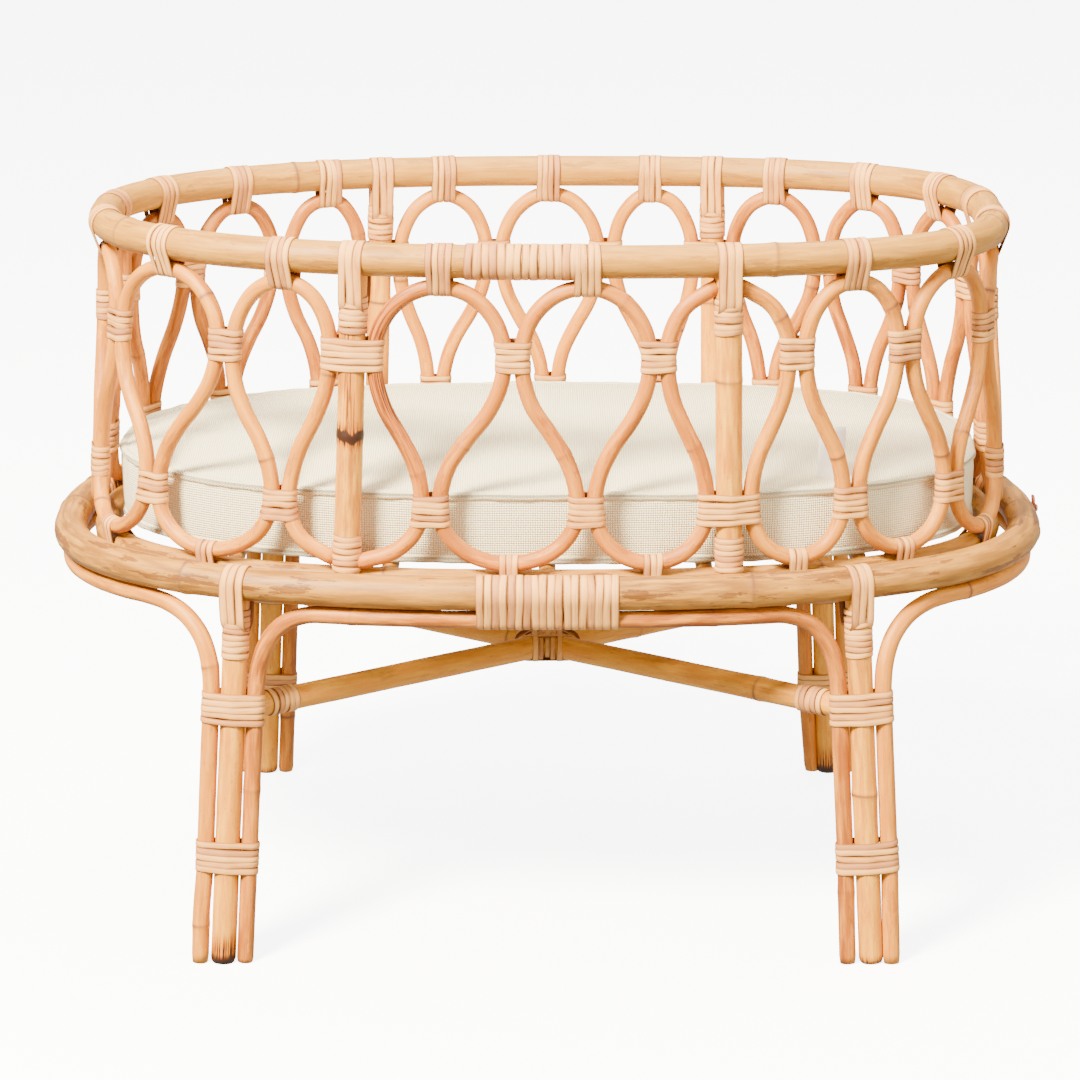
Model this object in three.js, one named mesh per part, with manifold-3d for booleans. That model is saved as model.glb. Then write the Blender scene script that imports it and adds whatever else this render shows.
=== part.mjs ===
// A doll's bassinet of bent rattan: an oval basket with an open looped wall, resting in the oval
// hoop of a four-legged stand. Millimetres, +Z up, +X along the length, the front at -Y, and the
// origin on the floor below the middle. Poles are round canes, each a separate closed solid.
import * as THREE from "three";
import { mergeVertices } from "three/addons/utils/BufferGeometryUtils.js";
import Module from "manifold-3d";

const wasm = await Module();
wasm.setup();

// ---- Driving dimensions -----------------------------------------------------------------------
const RIM = { halfLength: 240, halfWidth: 135, height: 375, radius: 8.7, left: 2.2, right: 2.8 };
// The stand's hoop is set by how far it lies outside the rim at the ends and at the sides.
const STAND_HOOP_OUTSIDE = { ends: 23.5, sides: 19 };
const STAND_HOOP = {
  halfLength: RIM.halfLength + STAND_HOOP_OUTSIDE.ends,
  halfWidth: RIM.halfWidth + STAND_HOOP_OUTSIDE.sides,
  height: 205,
  radius: 9,
  left: 2.5,
  right: 2.5,
};
const BASE_HOOP_RADIUS = 7;
const STRAND_RADIUS = 4.2;
const POST_RADIUS = 6.9;
const UPPER_NECK_BELOW_RIM = 49;
const LOWER_NECK_ABOVE_HOOP = 40;
const WALL_OVERHANG = 4;
const LEG = { fromHoopEnd: 102, splayX: 10.9, splayY: 17, radius: 6.65 };
const BRACE_RADIUS = 4.6;
const BRACE_BEND = { rise: 46, longReach: 34, endReach: 40 };
const CROSS_RADIUS = 6.6;
const CROSS_BELOW_HOOP = { front: 68, back: 84 };
const SLAT_RADIUS = 4.5;
const SLAT_COUNT = 5;
const SLAT_SPREAD = 165;
const MATTRESS = { thickness: 40, edge: 9, sideClearance: 1 };
const LABEL = { x: 149, width: 14, height: 28, thickness: 0.8 };
const STRIP = 2;
const WRAP_LENGTH = {
  legTop: 24,
  leg: 17,
  rimSplice: 38,
  hoopSplice: 74,
  hoopEnd: 26,
  post: 12,
  crossEnd: 17,
};
const LOWER_WRAP_HEIGHT = 58;
const LASHING = { outsidePole: 9.4, endOutsidePole: 2.65 };
const RIM_SPLICE_PLACE = 0.737;
const FRONT_MIDDLE = 0.75;
const HOOP_END_PLACE = 0.045;
const TAG = { width: 11, height: 14, thickness: 1, y: 14, pinRadius: 2.2, pinLength: 1.2 };
const CLEARANCE = 0.4;
// How far apart the sections of the bent canes are, and the sides of a wrap's outline.
const STRAND_STEP = 17;
const BRACE_STEP = 14;
const WRAP_SIDES = 14;
const FRONT = -1;
const BACK = 1;
const LEFT = -1;
const RIGHT = 1;

// The relative widths of the wall's arches, hand-spaced, anticlockwise from the front left post.
const ARCHES_FRONT = [82, 74, 72];
const ARCHES_RIGHT_END = [61, 66, 61, 51, 52, 53, 65];
const ARCHES_BACK = [62, 65, 66];
const ARCHES_LEFT_END = [58, 56, 52, 43, 56, 80, 69];
const FIRST_NECK = 0.6654;

// ---- Materials --------------------------------------------------------------------------------
const cane = (color) => new THREE.MeshStandardMaterial({ color, roughness: 0.55, metalness: 0 });
const HONEY_CANE = cane(0xd9ac72);
const STRAW_CANE = cane(0xe6cb97);
const PINK_CANE = cane(0xd9a079);
const PEELED_STRIP = cane(0xe3bf98);
const CANVAS = new THREE.MeshStandardMaterial({ color: 0xefe6cd, roughness: 0.95, metalness: 0 });
const LABEL_CLOTH = new THREE.MeshStandardMaterial({ color: 0xf5f2ea, roughness: 0.9, metalness: 0 });
const COPPER_LEATHER = new THREE.MeshStandardMaterial({ color: 0xa4502f, roughness: 0.6, metalness: 0.1 });

const bassinet = new THREE.Group();

function add(name, geometry, material) {
  const mesh = new THREE.Mesh(geometry, material);
  mesh.name = name;
  bassinet.add(mesh);
  return mesh;
}

// ---- Solids -----------------------------------------------------------------------------------
function solid(geometry) {
  const bare = geometry.index ? geometry.toNonIndexed() : geometry.clone();
  bare.deleteAttribute("normal");
  bare.deleteAttribute("uv");
  const merged = mergeVertices(bare, 1e-3);
  const triVerts = new Uint32Array(merged.index.array);
  const vertProperties = merged.attributes.position.array;
  return new wasm.Manifold(new wasm.Mesh({ numProp: 3, vertProperties, triVerts }));
}

function geometryOf(manifold) {
  const mesh = manifold.getMesh();
  const geometry = new THREE.BufferGeometry();
  geometry.setAttribute("position", new THREE.BufferAttribute(new Float32Array(mesh.vertProperties), 3));
  geometry.setIndex(new THREE.BufferAttribute(mesh.triVerts, 1));
  return geometry;
}

function cut(geometry, ...tools) {
  return geometryOf(tools.reduce((body, tool) => body.subtract(solid(tool)), solid(geometry)));
}

function box(sizeX, sizeY, sizeZ, x, y, z) {
  return new THREE.BoxGeometry(sizeX, sizeY, sizeZ).translate(x, y, z);
}

const FLOOR_BLOCK = box(2000, 2000, 200, 0, 0, -100);

// ---- Curves -----------------------------------------------------------------------------------
// An oval seen from above, whose two ends can differ in roundness: 2 is an ellipse, more is squarer.
class Oval extends THREE.Curve {
  constructor({ halfLength, halfWidth, height, left, right }) {
    super();
    Object.assign(this, { halfLength, halfWidth, height, left, right });
    this.arcLengthDivisions = 1440;
  }
  getPoint(t, target = new THREE.Vector3()) {
    const cos = Math.cos(2 * Math.PI * t);
    const sin = Math.sin(2 * Math.PI * t);
    const power = 2 / (cos < 0 ? this.left : this.right);
    const x = this.halfLength * Math.sign(cos) * Math.abs(cos) ** power;
    const y = this.halfWidth * Math.sign(sin) * Math.abs(sin) ** power;
    return target.set(x, y, this.height);
  }
  // This oval's own point in the same direction from the middle as a point of another oval.
  facing(point, other) {
    const x = point.x / other.halfLength;
    const y = point.y / other.halfWidth;
    const power = x < 0 ? this.left : this.right;
    const scale = (Math.abs(x) ** power + Math.abs(y) ** power) ** (-1 / power);
    return new THREE.Vector3(x * scale * this.halfLength, y * scale * this.halfWidth, this.height);
  }
  // The oval's own half width at a place along its length.
  widthAt(x) {
    const power = x < 0 ? this.left : this.right;
    return this.halfWidth * (1 - (Math.abs(x) / this.halfLength) ** power) ** (1 / power);
  }
}

// The same oval drawn in or out by a distance.
const inset = (oval, distance, height) => new Oval({
  ...oval,
  halfLength: oval.halfLength - distance,
  halfWidth: oval.halfWidth - distance,
  height,
});

// A closed oval with its points evenly spaced along it.
class Even extends THREE.Curve {
  constructor(oval) {
    super();
    this.oval = oval;
  }
  getPoint(t, target) {
    return this.oval.getPointAt(t % 1, target);
  }
}

function circle(radius, sides) {
  const points = [];
  for (let i = 0; i < sides; i += 1) {
    const angle = (2 * Math.PI * i) / sides;
    points.push(new THREE.Vector2(radius * Math.cos(angle), radius * Math.sin(angle)));
  }
  return new THREE.Shape(points);
}

function hoop(oval, radius, steps, sides) {
  return new THREE.TubeGeometry(new Even(oval), steps, radius, sides, true);
}

const bent = (curve, radius, steps, sides) => new THREE.ExtrudeGeometry(
  circle(radius, sides),
  { steps, extrudePath: curve, bevelEnabled: false },
);

const straight = (from, to, radius, sides) => bent(new THREE.LineCurve3(from, to), radius, 1, sides);

// ---- Hoops ------------------------------------------------------------------------------------
const rimLine = new Oval(RIM);
const standLine = new Oval(STAND_HOOP);
// The base hoop stands off the stand hoop by the strip wrapped between them.
const hoopsApart = STAND_HOOP.radius + STRIP + 3 * CLEARANCE + BASE_HOOP_RADIUS;
const baseLine = inset(standLine, hoopsApart, STAND_HOOP.height);

add("rim_hoop", hoop(rimLine, RIM.radius, 64, 8), HONEY_CANE);
add("base_hoop", hoop(baseLine, BASE_HOOP_RADIUS, 56, 6), HONEY_CANE);
add("stand_hoop", hoop(standLine, STAND_HOOP.radius, 64, 8), HONEY_CANE);

// ---- The looped wall --------------------------------------------------------------------------
const WALL_TOP = RIM.height - RIM.radius - STRAND_RADIUS - CLEARANCE;
const BASE_TOP = STAND_HOOP.height + BASE_HOOP_RADIUS;
const WALL_BOTTOM = BASE_TOP + STRAND_RADIUS + CLEARANCE;
const wallFoot = inset(baseLine, -WALL_OVERHANG, WALL_BOTTOM);
const UPPER_NECK_HEIGHT = RIM.height - UPPER_NECK_BELOW_RIM;
const LOWER_NECK_HEIGHT = STAND_HOOP.height + LOWER_NECK_ABOVE_HOOP;

const shares = [...ARCHES_FRONT, ...ARCHES_RIGHT_END, ...ARCHES_BACK, ...ARCHES_LEFT_END];
const allShares = shares.reduce((sum, share) => sum + share, 0);
const roundTheWall = rimLine.getLength();
const arches = shares.map((share) => (share / allShares) * roundTheWall);
const neckStations = arches.map((_, i) => arches.slice(0, i).reduce((sum, width) => sum + width, 0));

// The station of upper neck i and of the lower neck below arch i, counted round the wall.
function upperNeck(i) {
  const turns = Math.floor(i / arches.length);
  return turns * roundTheWall + neckStations[i - turns * arches.length];
}
const lowerNeck = (i) => (upperNeck(i) + upperNeck(i + 1)) / 2;

// A point of the wall, which leans out a little from under the rim to the base hoop.
function onWall(station, height) {
  const round = (((FIRST_NECK + station / roundTheWall) % 1) + 1) % 1;
  const top = rimLine.getPointAt(round);
  const foot = wallFoot.facing(top, rimLine);
  const point = top.lerp(foot, (WALL_TOP - height) / (WALL_TOP - WALL_BOTTOM));
  return point.setZ(height);
}

const POSTS = [
  { name: "post_front_left", neck: 0, upper: true },
  { name: "post_front_right", neck: ARCHES_FRONT.length - 1, upper: false },
  { name: "post_back_right", neck: ARCHES_FRONT.length + ARCHES_RIGHT_END.length, upper: true },
  { name: "post_back_left", neck: arches.length - ARCHES_LEFT_END.length, upper: true },
];
const postStation = (post) => (post.upper ? upperNeck(post.neck) : lowerNeck(post.neck));

// Half the distance between two strand centres that meet at a neck, wider where a post stands.
function halfNeck(i, upper) {
  const neck = i % arches.length;
  const held = POSTS.some((post) => post.upper === upper && post.neck === neck);
  return STRAND_RADIUS + (held ? POST_RADIUS + CLEARANCE : CLEARANCE / 2);
}

// Strand curves are drawn flat, as station and height, then laid on the wall.
class WallCurve extends THREE.Curve {
  constructor(flat) {
    super();
    this.flat = flat;
    this.arcLengthDivisions = 600;
  }
  getPoint(t, target = new THREE.Vector3()) {
    const { x, y } = this.flat.getPoint(t);
    return target.copy(onWall(x, y));
  }
}

function arc(centre, springing, halfSpan, rise, from, to, clockwise) {
  return new THREE.EllipseCurve(centre, springing, halfSpan, Math.abs(rise), from, to, clockwise);
}

// The arch above lower neck i, from one angle to another: half a turn is the whole arch.
function arch(i, from = Math.PI, to = 0) {
  const left = upperNeck(i) + halfNeck(i, true);
  const right = upperNeck(i + 1) - halfNeck(i + 1, true);
  const rise = WALL_TOP - UPPER_NECK_HEIGHT;
  return arc((left + right) / 2, UPPER_NECK_HEIGHT, (right - left) / 2, rise, from, to, true);
}

// The loop below upper neck i.
function loop(i, from = Math.PI, to = 2 * Math.PI) {
  const left = lowerNeck(i - 1) + halfNeck(i - 1 + arches.length, false);
  const right = lowerNeck(i) - halfNeck(i, false);
  const rise = LOWER_NECK_HEIGHT - WALL_BOTTOM;
  return arc((left + right) / 2, LOWER_NECK_HEIGHT, (right - left) / 2, rise, from, to, false);
}

function sway(fromStation, fromHeight, toStation, toHeight) {
  const middle = (fromHeight + toHeight) / 2;
  return new THREE.CubicBezierCurve(
    new THREE.Vector2(fromStation, fromHeight),
    new THREE.Vector2(fromStation, middle),
    new THREE.Vector2(toStation, middle),
    new THREE.Vector2(toStation, toHeight),
  );
}

const downTo = (i) => sway(
  upperNeck(i + 1) - halfNeck(i + 1, true),
  UPPER_NECK_HEIGHT,
  lowerNeck(i) + halfNeck(i, false),
  LOWER_NECK_HEIGHT,
);

const upTo = (i) => sway(
  lowerNeck(i) - halfNeck(i, false),
  LOWER_NECK_HEIGHT,
  upperNeck(i) + halfNeck(i, true),
  UPPER_NECK_HEIGHT,
);

// How far round from its middle an arc reaches a station.
const offMiddle = (piece, station) => Math.asin((station - piece.aX) / piece.xRadius);

// Where a strand stops: so far short of a post, or of the strand that it meets end to end.
const POST_GAP = POST_RADIUS + 1.6;
const BUTT_GAP = 0.6;
const loopFrom = (i, gap) => loop(i, 1.5 * Math.PI + offMiddle(loop(i), upperNeck(i) + gap));
const loopUpTo = (i, gap) => loop(i, Math.PI, 1.5 * Math.PI + offMiddle(loop(i), upperNeck(i) - gap));
const archFrom = (i, gap) => arch(i, Math.PI / 2 - offMiddle(arch(i), lowerNeck(i) + gap), 0);
const archUpTo = (i, gap) => arch(i, Math.PI, Math.PI / 2 - offMiddle(arch(i), lowerNeck(i) - gap));

// A strand runs from its start, below neck `from` or over arch `from`, to its end, round each arch.
function strand(name, from, to, startGap, endGap, startsOverArch, endsOverArch) {
  const flat = new THREE.CurvePath();
  let i = from;
  if (startsOverArch) {
    flat.add(archFrom(i, startGap));
    flat.add(downTo(i));
    i += 1;
    flat.add(loop(i));
  } else {
    flat.add(loopFrom(i, startGap));
  }
  for (; i < to; i += 1) {
    flat.add(upTo(i));
    flat.add(arch(i));
    flat.add(downTo(i));
    const last = i + 1 === to && !endsOverArch;
    flat.add(last ? loopUpTo(i + 1, endGap) : loop(i + 1));
  }
  if (endsOverArch) {
    flat.add(upTo(to));
    flat.add(archUpTo(to, endGap));
  }
  const steps = Math.round(flat.getLength() / STRAND_STEP);
  add(name, bent(new WallCurve(flat), STRAND_RADIUS, steps, 6), PINK_CANE);
}

const frontRight = ARCHES_FRONT.length - 1;
const backRight = ARCHES_FRONT.length + ARCHES_RIGHT_END.length;
const backLeft = backRight + ARCHES_BACK.length;
const rightMiddle = frontRight + 4;
const leftMiddle = backLeft + 4;
strand("strand_front", 0, frontRight, POST_GAP, POST_GAP, false, true);
strand("strand_right_front", frontRight, rightMiddle, POST_GAP, BUTT_GAP, true, false);
strand("strand_right_back", rightMiddle, backRight, BUTT_GAP, POST_GAP, false, false);
strand("strand_back", backRight, backLeft, POST_GAP, POST_GAP, false, false);
strand("strand_left_back", backLeft, leftMiddle, POST_GAP, BUTT_GAP, false, false);
strand("strand_left_front", leftMiddle, arches.length, BUTT_GAP, POST_GAP, false, false);

// ---- Posts, saddled under the rim and standing on the base hoop -------------------------------
const aroundRim = hoop(rimLine, RIM.radius + CLEARANCE, 64, 8);
const aroundBase = hoop(baseLine, BASE_HOOP_RADIUS + CLEARANCE, 56, 6);
for (const post of POSTS) {
  const station = postStation(post);
  const from = onWall(station, BASE_TOP + 2 * CLEARANCE);
  const to = onWall(station, RIM.height - RIM.radius / 2);
  add(post.name, cut(straight(from, to, POST_RADIUS, 12), aroundRim), STRAW_CANE);
}

// ---- Slats under the mattress -----------------------------------------------------------------
for (let i = 0; i < SLAT_COUNT; i += 1) {
  const x = SLAT_SPREAD * ((2 * i) / (SLAT_COUNT - 1) - 1);
  const reach = baseLine.widthAt(x);
  const height = BASE_TOP - SLAT_RADIUS;
  const from = new THREE.Vector3(x, -reach, height);
  const to = new THREE.Vector3(x, reach, height);
  add(`slat_${i + 1}`, cut(straight(from, to, SLAT_RADIUS, 8), aroundBase), HONEY_CANE);
}

// ---- Stand: legs, braces that double them, and the crossed poles --------------------------------
const legTopX = STAND_HOOP.halfLength - LEG.fromHoopEnd;
const legTopY = standLine.widthAt(legTopX);
const LEG_TOP = STAND_HOOP.height - STAND_HOOP.radius / 2;
const BESIDE_LEG = LEG.radius + BRACE_RADIUS + CLEARANCE;
const BRACE_HEIGHT = STAND_HOOP.height - STAND_HOOP.radius - BRACE_RADIUS - CLEARANCE;
const BRACE_TURN = BRACE_HEIGHT - BRACE_BEND.rise;

// The middle of a leg at a height; `side` is left or right and `face` is front or back.
function onLeg(side, face, height, sidestep = 0) {
  const down = 1 - height / LEG_TOP;
  const x = legTopX + LEG.splayX * down + sidestep;
  return new THREE.Vector3(side * x, face * (legTopY + LEG.splayY * down), height);
}

const corners = [
  { name: "front_left", side: LEFT, face: FRONT },
  { name: "front_right", side: RIGHT, face: FRONT },
  { name: "back_right", side: RIGHT, face: BACK },
  { name: "back_left", side: LEFT, face: BACK },
];
const aroundStand = hoop(standLine, STAND_HOOP.radius + CLEARANCE, 64, 8);
const BELOW_FLOOR = -6;

for (const { name, side, face } of corners) {
  const pole = straight(onLeg(side, face, BELOW_FLOOR), onLeg(side, face, LEG_TOP), LEG.radius, 12);
  add(`leg_${name}`, cut(pole, FLOOR_BLOCK, aroundStand), STRAW_CANE);
}

// The place round an oval, as its own parameter, of a point at x on its front or back.
function placeOf(oval, x, face) {
  const power = x < 0 ? oval.left : oval.right;
  const cos = Math.sign(x) * (Math.abs(x) / oval.halfLength) ** (power / 2);
  const turn = Math.acos(cos) / (2 * Math.PI);
  return face === BACK ? turn : 1 - turn;
}

// A stretch of the stand hoop's line, lowered to run just under the hoop.
class UnderHoop extends THREE.Curve {
  constructor(from, to) {
    super();
    this.from = from;
    this.to = to;
  }
  getPoint(t, target = new THREE.Vector3()) {
    const place = THREE.MathUtils.lerp(this.from, this.to, t);
    return standLine.getPoint(place, target).setZ(BRACE_HEIGHT);
  }
}

// A brace rises beside one leg, bends under the hoop, follows it and comes down beside the next.
function brace(name, start, end, sidestep, from, to) {
  const middle = new UnderHoop(from, to);
  const rise = new THREE.LineCurve3(
    onLeg(start.side, start.face, BELOW_FLOOR, sidestep),
    onLeg(start.side, start.face, BRACE_TURN, sidestep),
  );
  const fall = new THREE.LineCurve3(
    onLeg(end.side, end.face, BRACE_TURN, sidestep),
    onLeg(end.side, end.face, BELOW_FLOOR, sidestep),
  );
  const startCorner = onLeg(start.side, start.face, BRACE_HEIGHT, sidestep);
  const endCorner = onLeg(end.side, end.face, BRACE_HEIGHT, sidestep);
  const route = new THREE.CurvePath();
  route.add(rise);
  route.add(new THREE.QuadraticBezierCurve3(rise.v2, startCorner, middle.getPoint(0)));
  route.add(middle);
  route.add(new THREE.QuadraticBezierCurve3(middle.getPoint(1), endCorner, fall.v1));
  route.add(fall);
  const steps = Math.round(route.getLength() / BRACE_STEP);
  add(name, cut(bent(route, BRACE_RADIUS, steps, 6), FLOOR_BLOCK), PINK_CANE);
}

const longBend = legTopX - BESIDE_LEG - BRACE_BEND.longReach;
const endBend = legTopX + BESIDE_LEG + BRACE_BEND.endReach;

for (const [name, face] of [["brace_front", FRONT], ["brace_back", BACK]]) {
  const ends = [LEFT, RIGHT].map((side) => placeOf(standLine, side * longBend, face));
  brace(name, { side: LEFT, face }, { side: RIGHT, face }, -BESIDE_LEG, ...ends);
}
brace(
  "brace_left",
  { side: LEFT, face: BACK },
  { side: LEFT, face: FRONT },
  BESIDE_LEG,
  placeOf(standLine, LEFT * endBend, BACK),
  placeOf(standLine, LEFT * endBend, FRONT),
);
brace(
  "brace_right",
  { side: RIGHT, face: FRONT },
  { side: RIGHT, face: BACK },
  BESIDE_LEG,
  placeOf(standLine, RIGHT * endBend, FRONT),
  1 + placeOf(standLine, RIGHT * endBend, BACK),
);

// ---- Wraps of peeled cane strip -----------------------------------------------------------------
// The convex outline round some circles in a plane, drawn off them by a distance.
function outlineRound(circles, offset, sides = 10) {
  const points = circles.flatMap(({ x, y, radius }) => {
    const reach = (radius + offset) / Math.cos(Math.PI / sides);
    return circle(reach, sides).getPoints().map((p) => p.add(new THREE.Vector2(x, y)));
  });
  points.sort((p, q) => p.x - q.x || p.y - q.y);
  const turnsRight = (o, p, q) => (p.x - o.x) * (q.y - o.y) - (p.y - o.y) * (q.x - o.x) <= 1e-6;
  const halfHull = (ordered) => {
    const hull = [];
    for (const point of ordered) {
      while (hull.length > 1 && turnsRight(hull.at(-2), hull.at(-1), point)) hull.pop();
      hull.push(point);
    }
    return hull.slice(0, -1);
  };
  return [...halfHull(points), ...halfHull([...points].reverse())];
}

// A closed sleeve of strip round poles that run along local Z, centred on the origin.
function sleeve(circles, length) {
  const shape = new THREE.Shape(outlineRound(circles, CLEARANCE + STRIP));
  shape.holes.push(new THREE.Path(outlineRound(circles, CLEARANCE)));
  const geometry = new THREE.ExtrudeGeometry(shape, { depth: length, bevelEnabled: false });
  return geometry.translate(0, 0, -length / 2);
}

// Space for a sleeve, to cut what stops against it.
function sleeveSpace(circles, length) {
  const shape = new THREE.Shape(outlineRound(circles, 2 * CLEARANCE + STRIP));
  const depth = length + 2 * CLEARANCE;
  return new THREE.ExtrudeGeometry(shape, { depth, bevelEnabled: false }).translate(0, 0, -depth / 2);
}

// Places a piece that runs along local Z at a point, with its X axis level and across the direction.
function place(geometry, at, direction) {
  const along = direction.clone().normalize();
  const across = new THREE.Vector3(1, 0, 0).addScaledVector(along, -along.x).normalize();
  const basis = new THREE.Matrix4().makeBasis(across, along.clone().cross(across), along);
  return geometry.applyMatrix4(basis).translate(at.x, at.y, at.z);
}

const legCircles = [
  { x: 0, y: 0, radius: LEG.radius },
  { x: BESIDE_LEG, y: 0, radius: BRACE_RADIUS },
  { x: -BESIDE_LEG, y: 0, radius: BRACE_RADIUS },
];
const legAxis = (side, face) => onLeg(side, face, LEG_TOP).sub(onLeg(side, face, 0));
function crossHeight(face) {
  return STAND_HOOP.height - (face === FRONT ? CROSS_BELOW_HOOP.front : CROSS_BELOW_HOOP.back);
}

for (const { name, side, face } of corners) {
  const axis = legAxis(side, face);
  const top = BRACE_HEIGHT - WRAP_LENGTH.legTop / 2;
  const topWrap = sleeve([legCircles[0]], WRAP_LENGTH.legTop);
  add(`wrap_leg_top_${name}`, place(topWrap, onLeg(side, face, top), axis), PEELED_STRIP);
  const heights = [["upper", crossHeight(face)], ["lower", LOWER_WRAP_HEIGHT]];
  for (const [level, height] of heights) {
    const wrap = place(sleeve(legCircles, WRAP_LENGTH.leg), onLeg(side, face, height), axis);
    add(`wrap_leg_${level}_${name}`, wrap, PEELED_STRIP);
  }
}

for (const post of POSTS) {
  const station = postStation(post);
  const half = WRAP_LENGTH.post / 2;
  const top = WALL_TOP - 2 * STRAND_RADIUS;
  const axis = onWall(station, top).sub(onWall(station, top - 2 * half));
  const wrap = sleeve([{ x: 0, y: 0, radius: POST_RADIUS }], WRAP_LENGTH.post);
  add(`wrap_${post.name}`, place(wrap, onWall(station, top - half), axis), PEELED_STRIP);
}

// A stretch of an oval's line, centred at a place on it, counted as a share of the way round.
class Stretch extends THREE.Curve {
  constructor(oval, middle, length) {
    super();
    const share = length / oval.getLength() / 2;
    Object.assign(this, { oval, from: middle - share, to: middle + share });
  }
  getPoint(t, target) {
    const round = THREE.MathUtils.lerp(this.from, this.to, t);
    return this.oval.getPointAt((round + 1) % 1, target);
  }
}

// A sleeve bent along a hoop. Its outline's own X points down, so a brace is at +X of the hoop.
function hoopWrap(name, oval, middle, length, circles, steps) {
  const shape = new THREE.Shape(outlineRound(circles, 1.5 * CLEARANCE + STRIP, WRAP_SIDES));
  shape.holes.push(new THREE.Path(outlineRound(circles, 1.5 * CLEARANCE, WRAP_SIDES)));
  const options = { steps, extrudePath: new Stretch(oval, middle, length), bevelEnabled: false };
  add(name, new THREE.ExtrudeGeometry(shape, options), PEELED_STRIP);
}

const roundRim = [{ x: 0, y: 0, radius: RIM.radius }];
const roundHoopAndBrace = [
  { x: 0, y: 0, radius: STAND_HOOP.radius },
  { x: STAND_HOOP.height - BRACE_HEIGHT, y: 0, radius: BRACE_RADIUS },
];
const { rimSplice, hoopSplice, hoopEnd } = WRAP_LENGTH;
hoopWrap("wrap_rim_splice", rimLine, RIM_SPLICE_PLACE, rimSplice, roundRim, 3);
hoopWrap("wrap_hoop_splice", standLine, FRONT_MIDDLE, hoopSplice, roundHoopAndBrace, 5);
hoopWrap("wrap_hoop_right", standLine, HOOP_END_PLACE, hoopEnd, roundHoopAndBrace, 3);
hoopWrap("wrap_hoop_left", standLine, 0.5 - HOOP_END_PLACE, hoopEnd, roundHoopAndBrace, 3);

// ---- The crossed poles and their lashing --------------------------------------------------------
// Each crossed pole ties a front leg to the far back leg; they are half-lapped where they cross.
function crossLine(side) {
  const front = onLeg(side, FRONT, crossHeight(FRONT));
  const back = onLeg(-side, BACK, crossHeight(BACK));
  return { front, back, along: back.clone().sub(front).normalize() };
}

const crossSpace = (side) => {
  const { front, back } = crossLine(side);
  return straight(front, back, CROSS_RADIUS + CLEARANCE, 12);
};
const crossMiddle = (crossHeight(FRONT) + crossHeight(BACK)) / 2;
const lapBlock = 60;
const aboveLap = box(lapBlock, lapBlock, lapBlock, 0, 0, crossMiddle + (lapBlock - CLEARANCE) / 2);
const belowLap = box(lapBlock, lapBlock, lapBlock, 0, 0, crossMiddle - (lapBlock - CLEARANCE) / 2);
const notch = (otherSide, half) => geometryOf(solid(crossSpace(otherSide)).intersect(solid(half)));

// The ends stop against the wraps round the legs.
const legWrapSpace = (side, face) => place(
  sleeveSpace(legCircles, WRAP_LENGTH.leg + 4 * CROSS_RADIUS),
  onLeg(side, face, crossHeight(face)),
  legAxis(side, face),
);
for (const [name, side, half] of [["left", LEFT, aboveLap], ["right", RIGHT, belowLap]]) {
  const { front, back } = crossLine(side);
  const pole = straight(front, back, CROSS_RADIUS, 12);
  const ends = [legWrapSpace(side, FRONT), legWrapSpace(-side, BACK)];
  const trimmed = solid(cut(pole, ...ends, notch(-side, half))).decompose();
  const longest = trimmed.reduce((a, b) => (a.volume() > b.volume() ? a : b));
  add(`cross_pole_${name}`, geometryOf(longest), STRAW_CANE);
}

const fromLeg = (LEG.radius + STRIP + 2 * CLEARANCE) * 1.5 + CROSS_RADIUS;
for (const { name, side, face } of corners) {
  const line = crossLine(face === FRONT ? side : -side);
  const start = face === FRONT ? line.front : line.back;
  const inwards = line.along.clone().multiplyScalar(face === FRONT ? 1 : -1);
  const at = start.clone().addScaledVector(inwards, fromLeg + WRAP_LENGTH.crossEnd / 2);
  const wrap = sleeve([{ x: 0, y: 0, radius: CROSS_RADIUS }], WRAP_LENGTH.crossEnd);
  add(`wrap_cross_${name}`, place(wrap, at, inwards), PEELED_STRIP);
}

const lashingRadius = CROSS_RADIUS + LASHING.outsidePole;
const lashingLength = 2 * (CROSS_RADIUS + LASHING.endOutsidePole);
const knot = new THREE.CylinderGeometry(lashingRadius, lashingRadius, lashingLength, 16);
knot.rotateX(Math.PI / 2).translate(0, 0, crossMiddle);
add("lashing_cross_middle", cut(knot, crossSpace(LEFT), crossSpace(RIGHT)), PEELED_STRIP);

// ---- Mattress and its label ---------------------------------------------------------------------
// The mattress passes the rim and the strip round the rim's splice.
const rimReach = RIM.radius + STRIP + 1.5 * CLEARANCE;
const mattressLine = inset(rimLine, rimReach + MATTRESS.sideClearance, 0);
const MATTRESS_BOTTOM = BASE_TOP + CLEARANCE;
const mattressOutline = Array.from({ length: 40 }, (_, i) => {
  const { x, y } = mattressLine.getPointAt(i / 40);
  return new THREE.Vector2(x, y);
});
const mattress = new THREE.ExtrudeGeometry(new THREE.Shape(mattressOutline), {
  depth: MATTRESS.thickness - 2 * MATTRESS.edge,
  bevelThickness: MATTRESS.edge,
  bevelSize: MATTRESS.edge,
  bevelOffset: -MATTRESS.edge,
  bevelSegments: 3,
});
add("mattress", mattress.translate(0, 0, MATTRESS_BOTTOM + MATTRESS.edge), CANVAS);

const labelY = -(mattressLine.widthAt(LABEL.x) - MATTRESS.edge - LABEL.thickness);
const labelZ = MATTRESS_BOTTOM + MATTRESS.thickness + CLEARANCE + LABEL.height / 2;
const label = box(LABEL.width, LABEL.thickness, LABEL.height, LABEL.x, labelY, labelZ);
add("mattress_label", label, LABEL_CLOTH);

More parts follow.
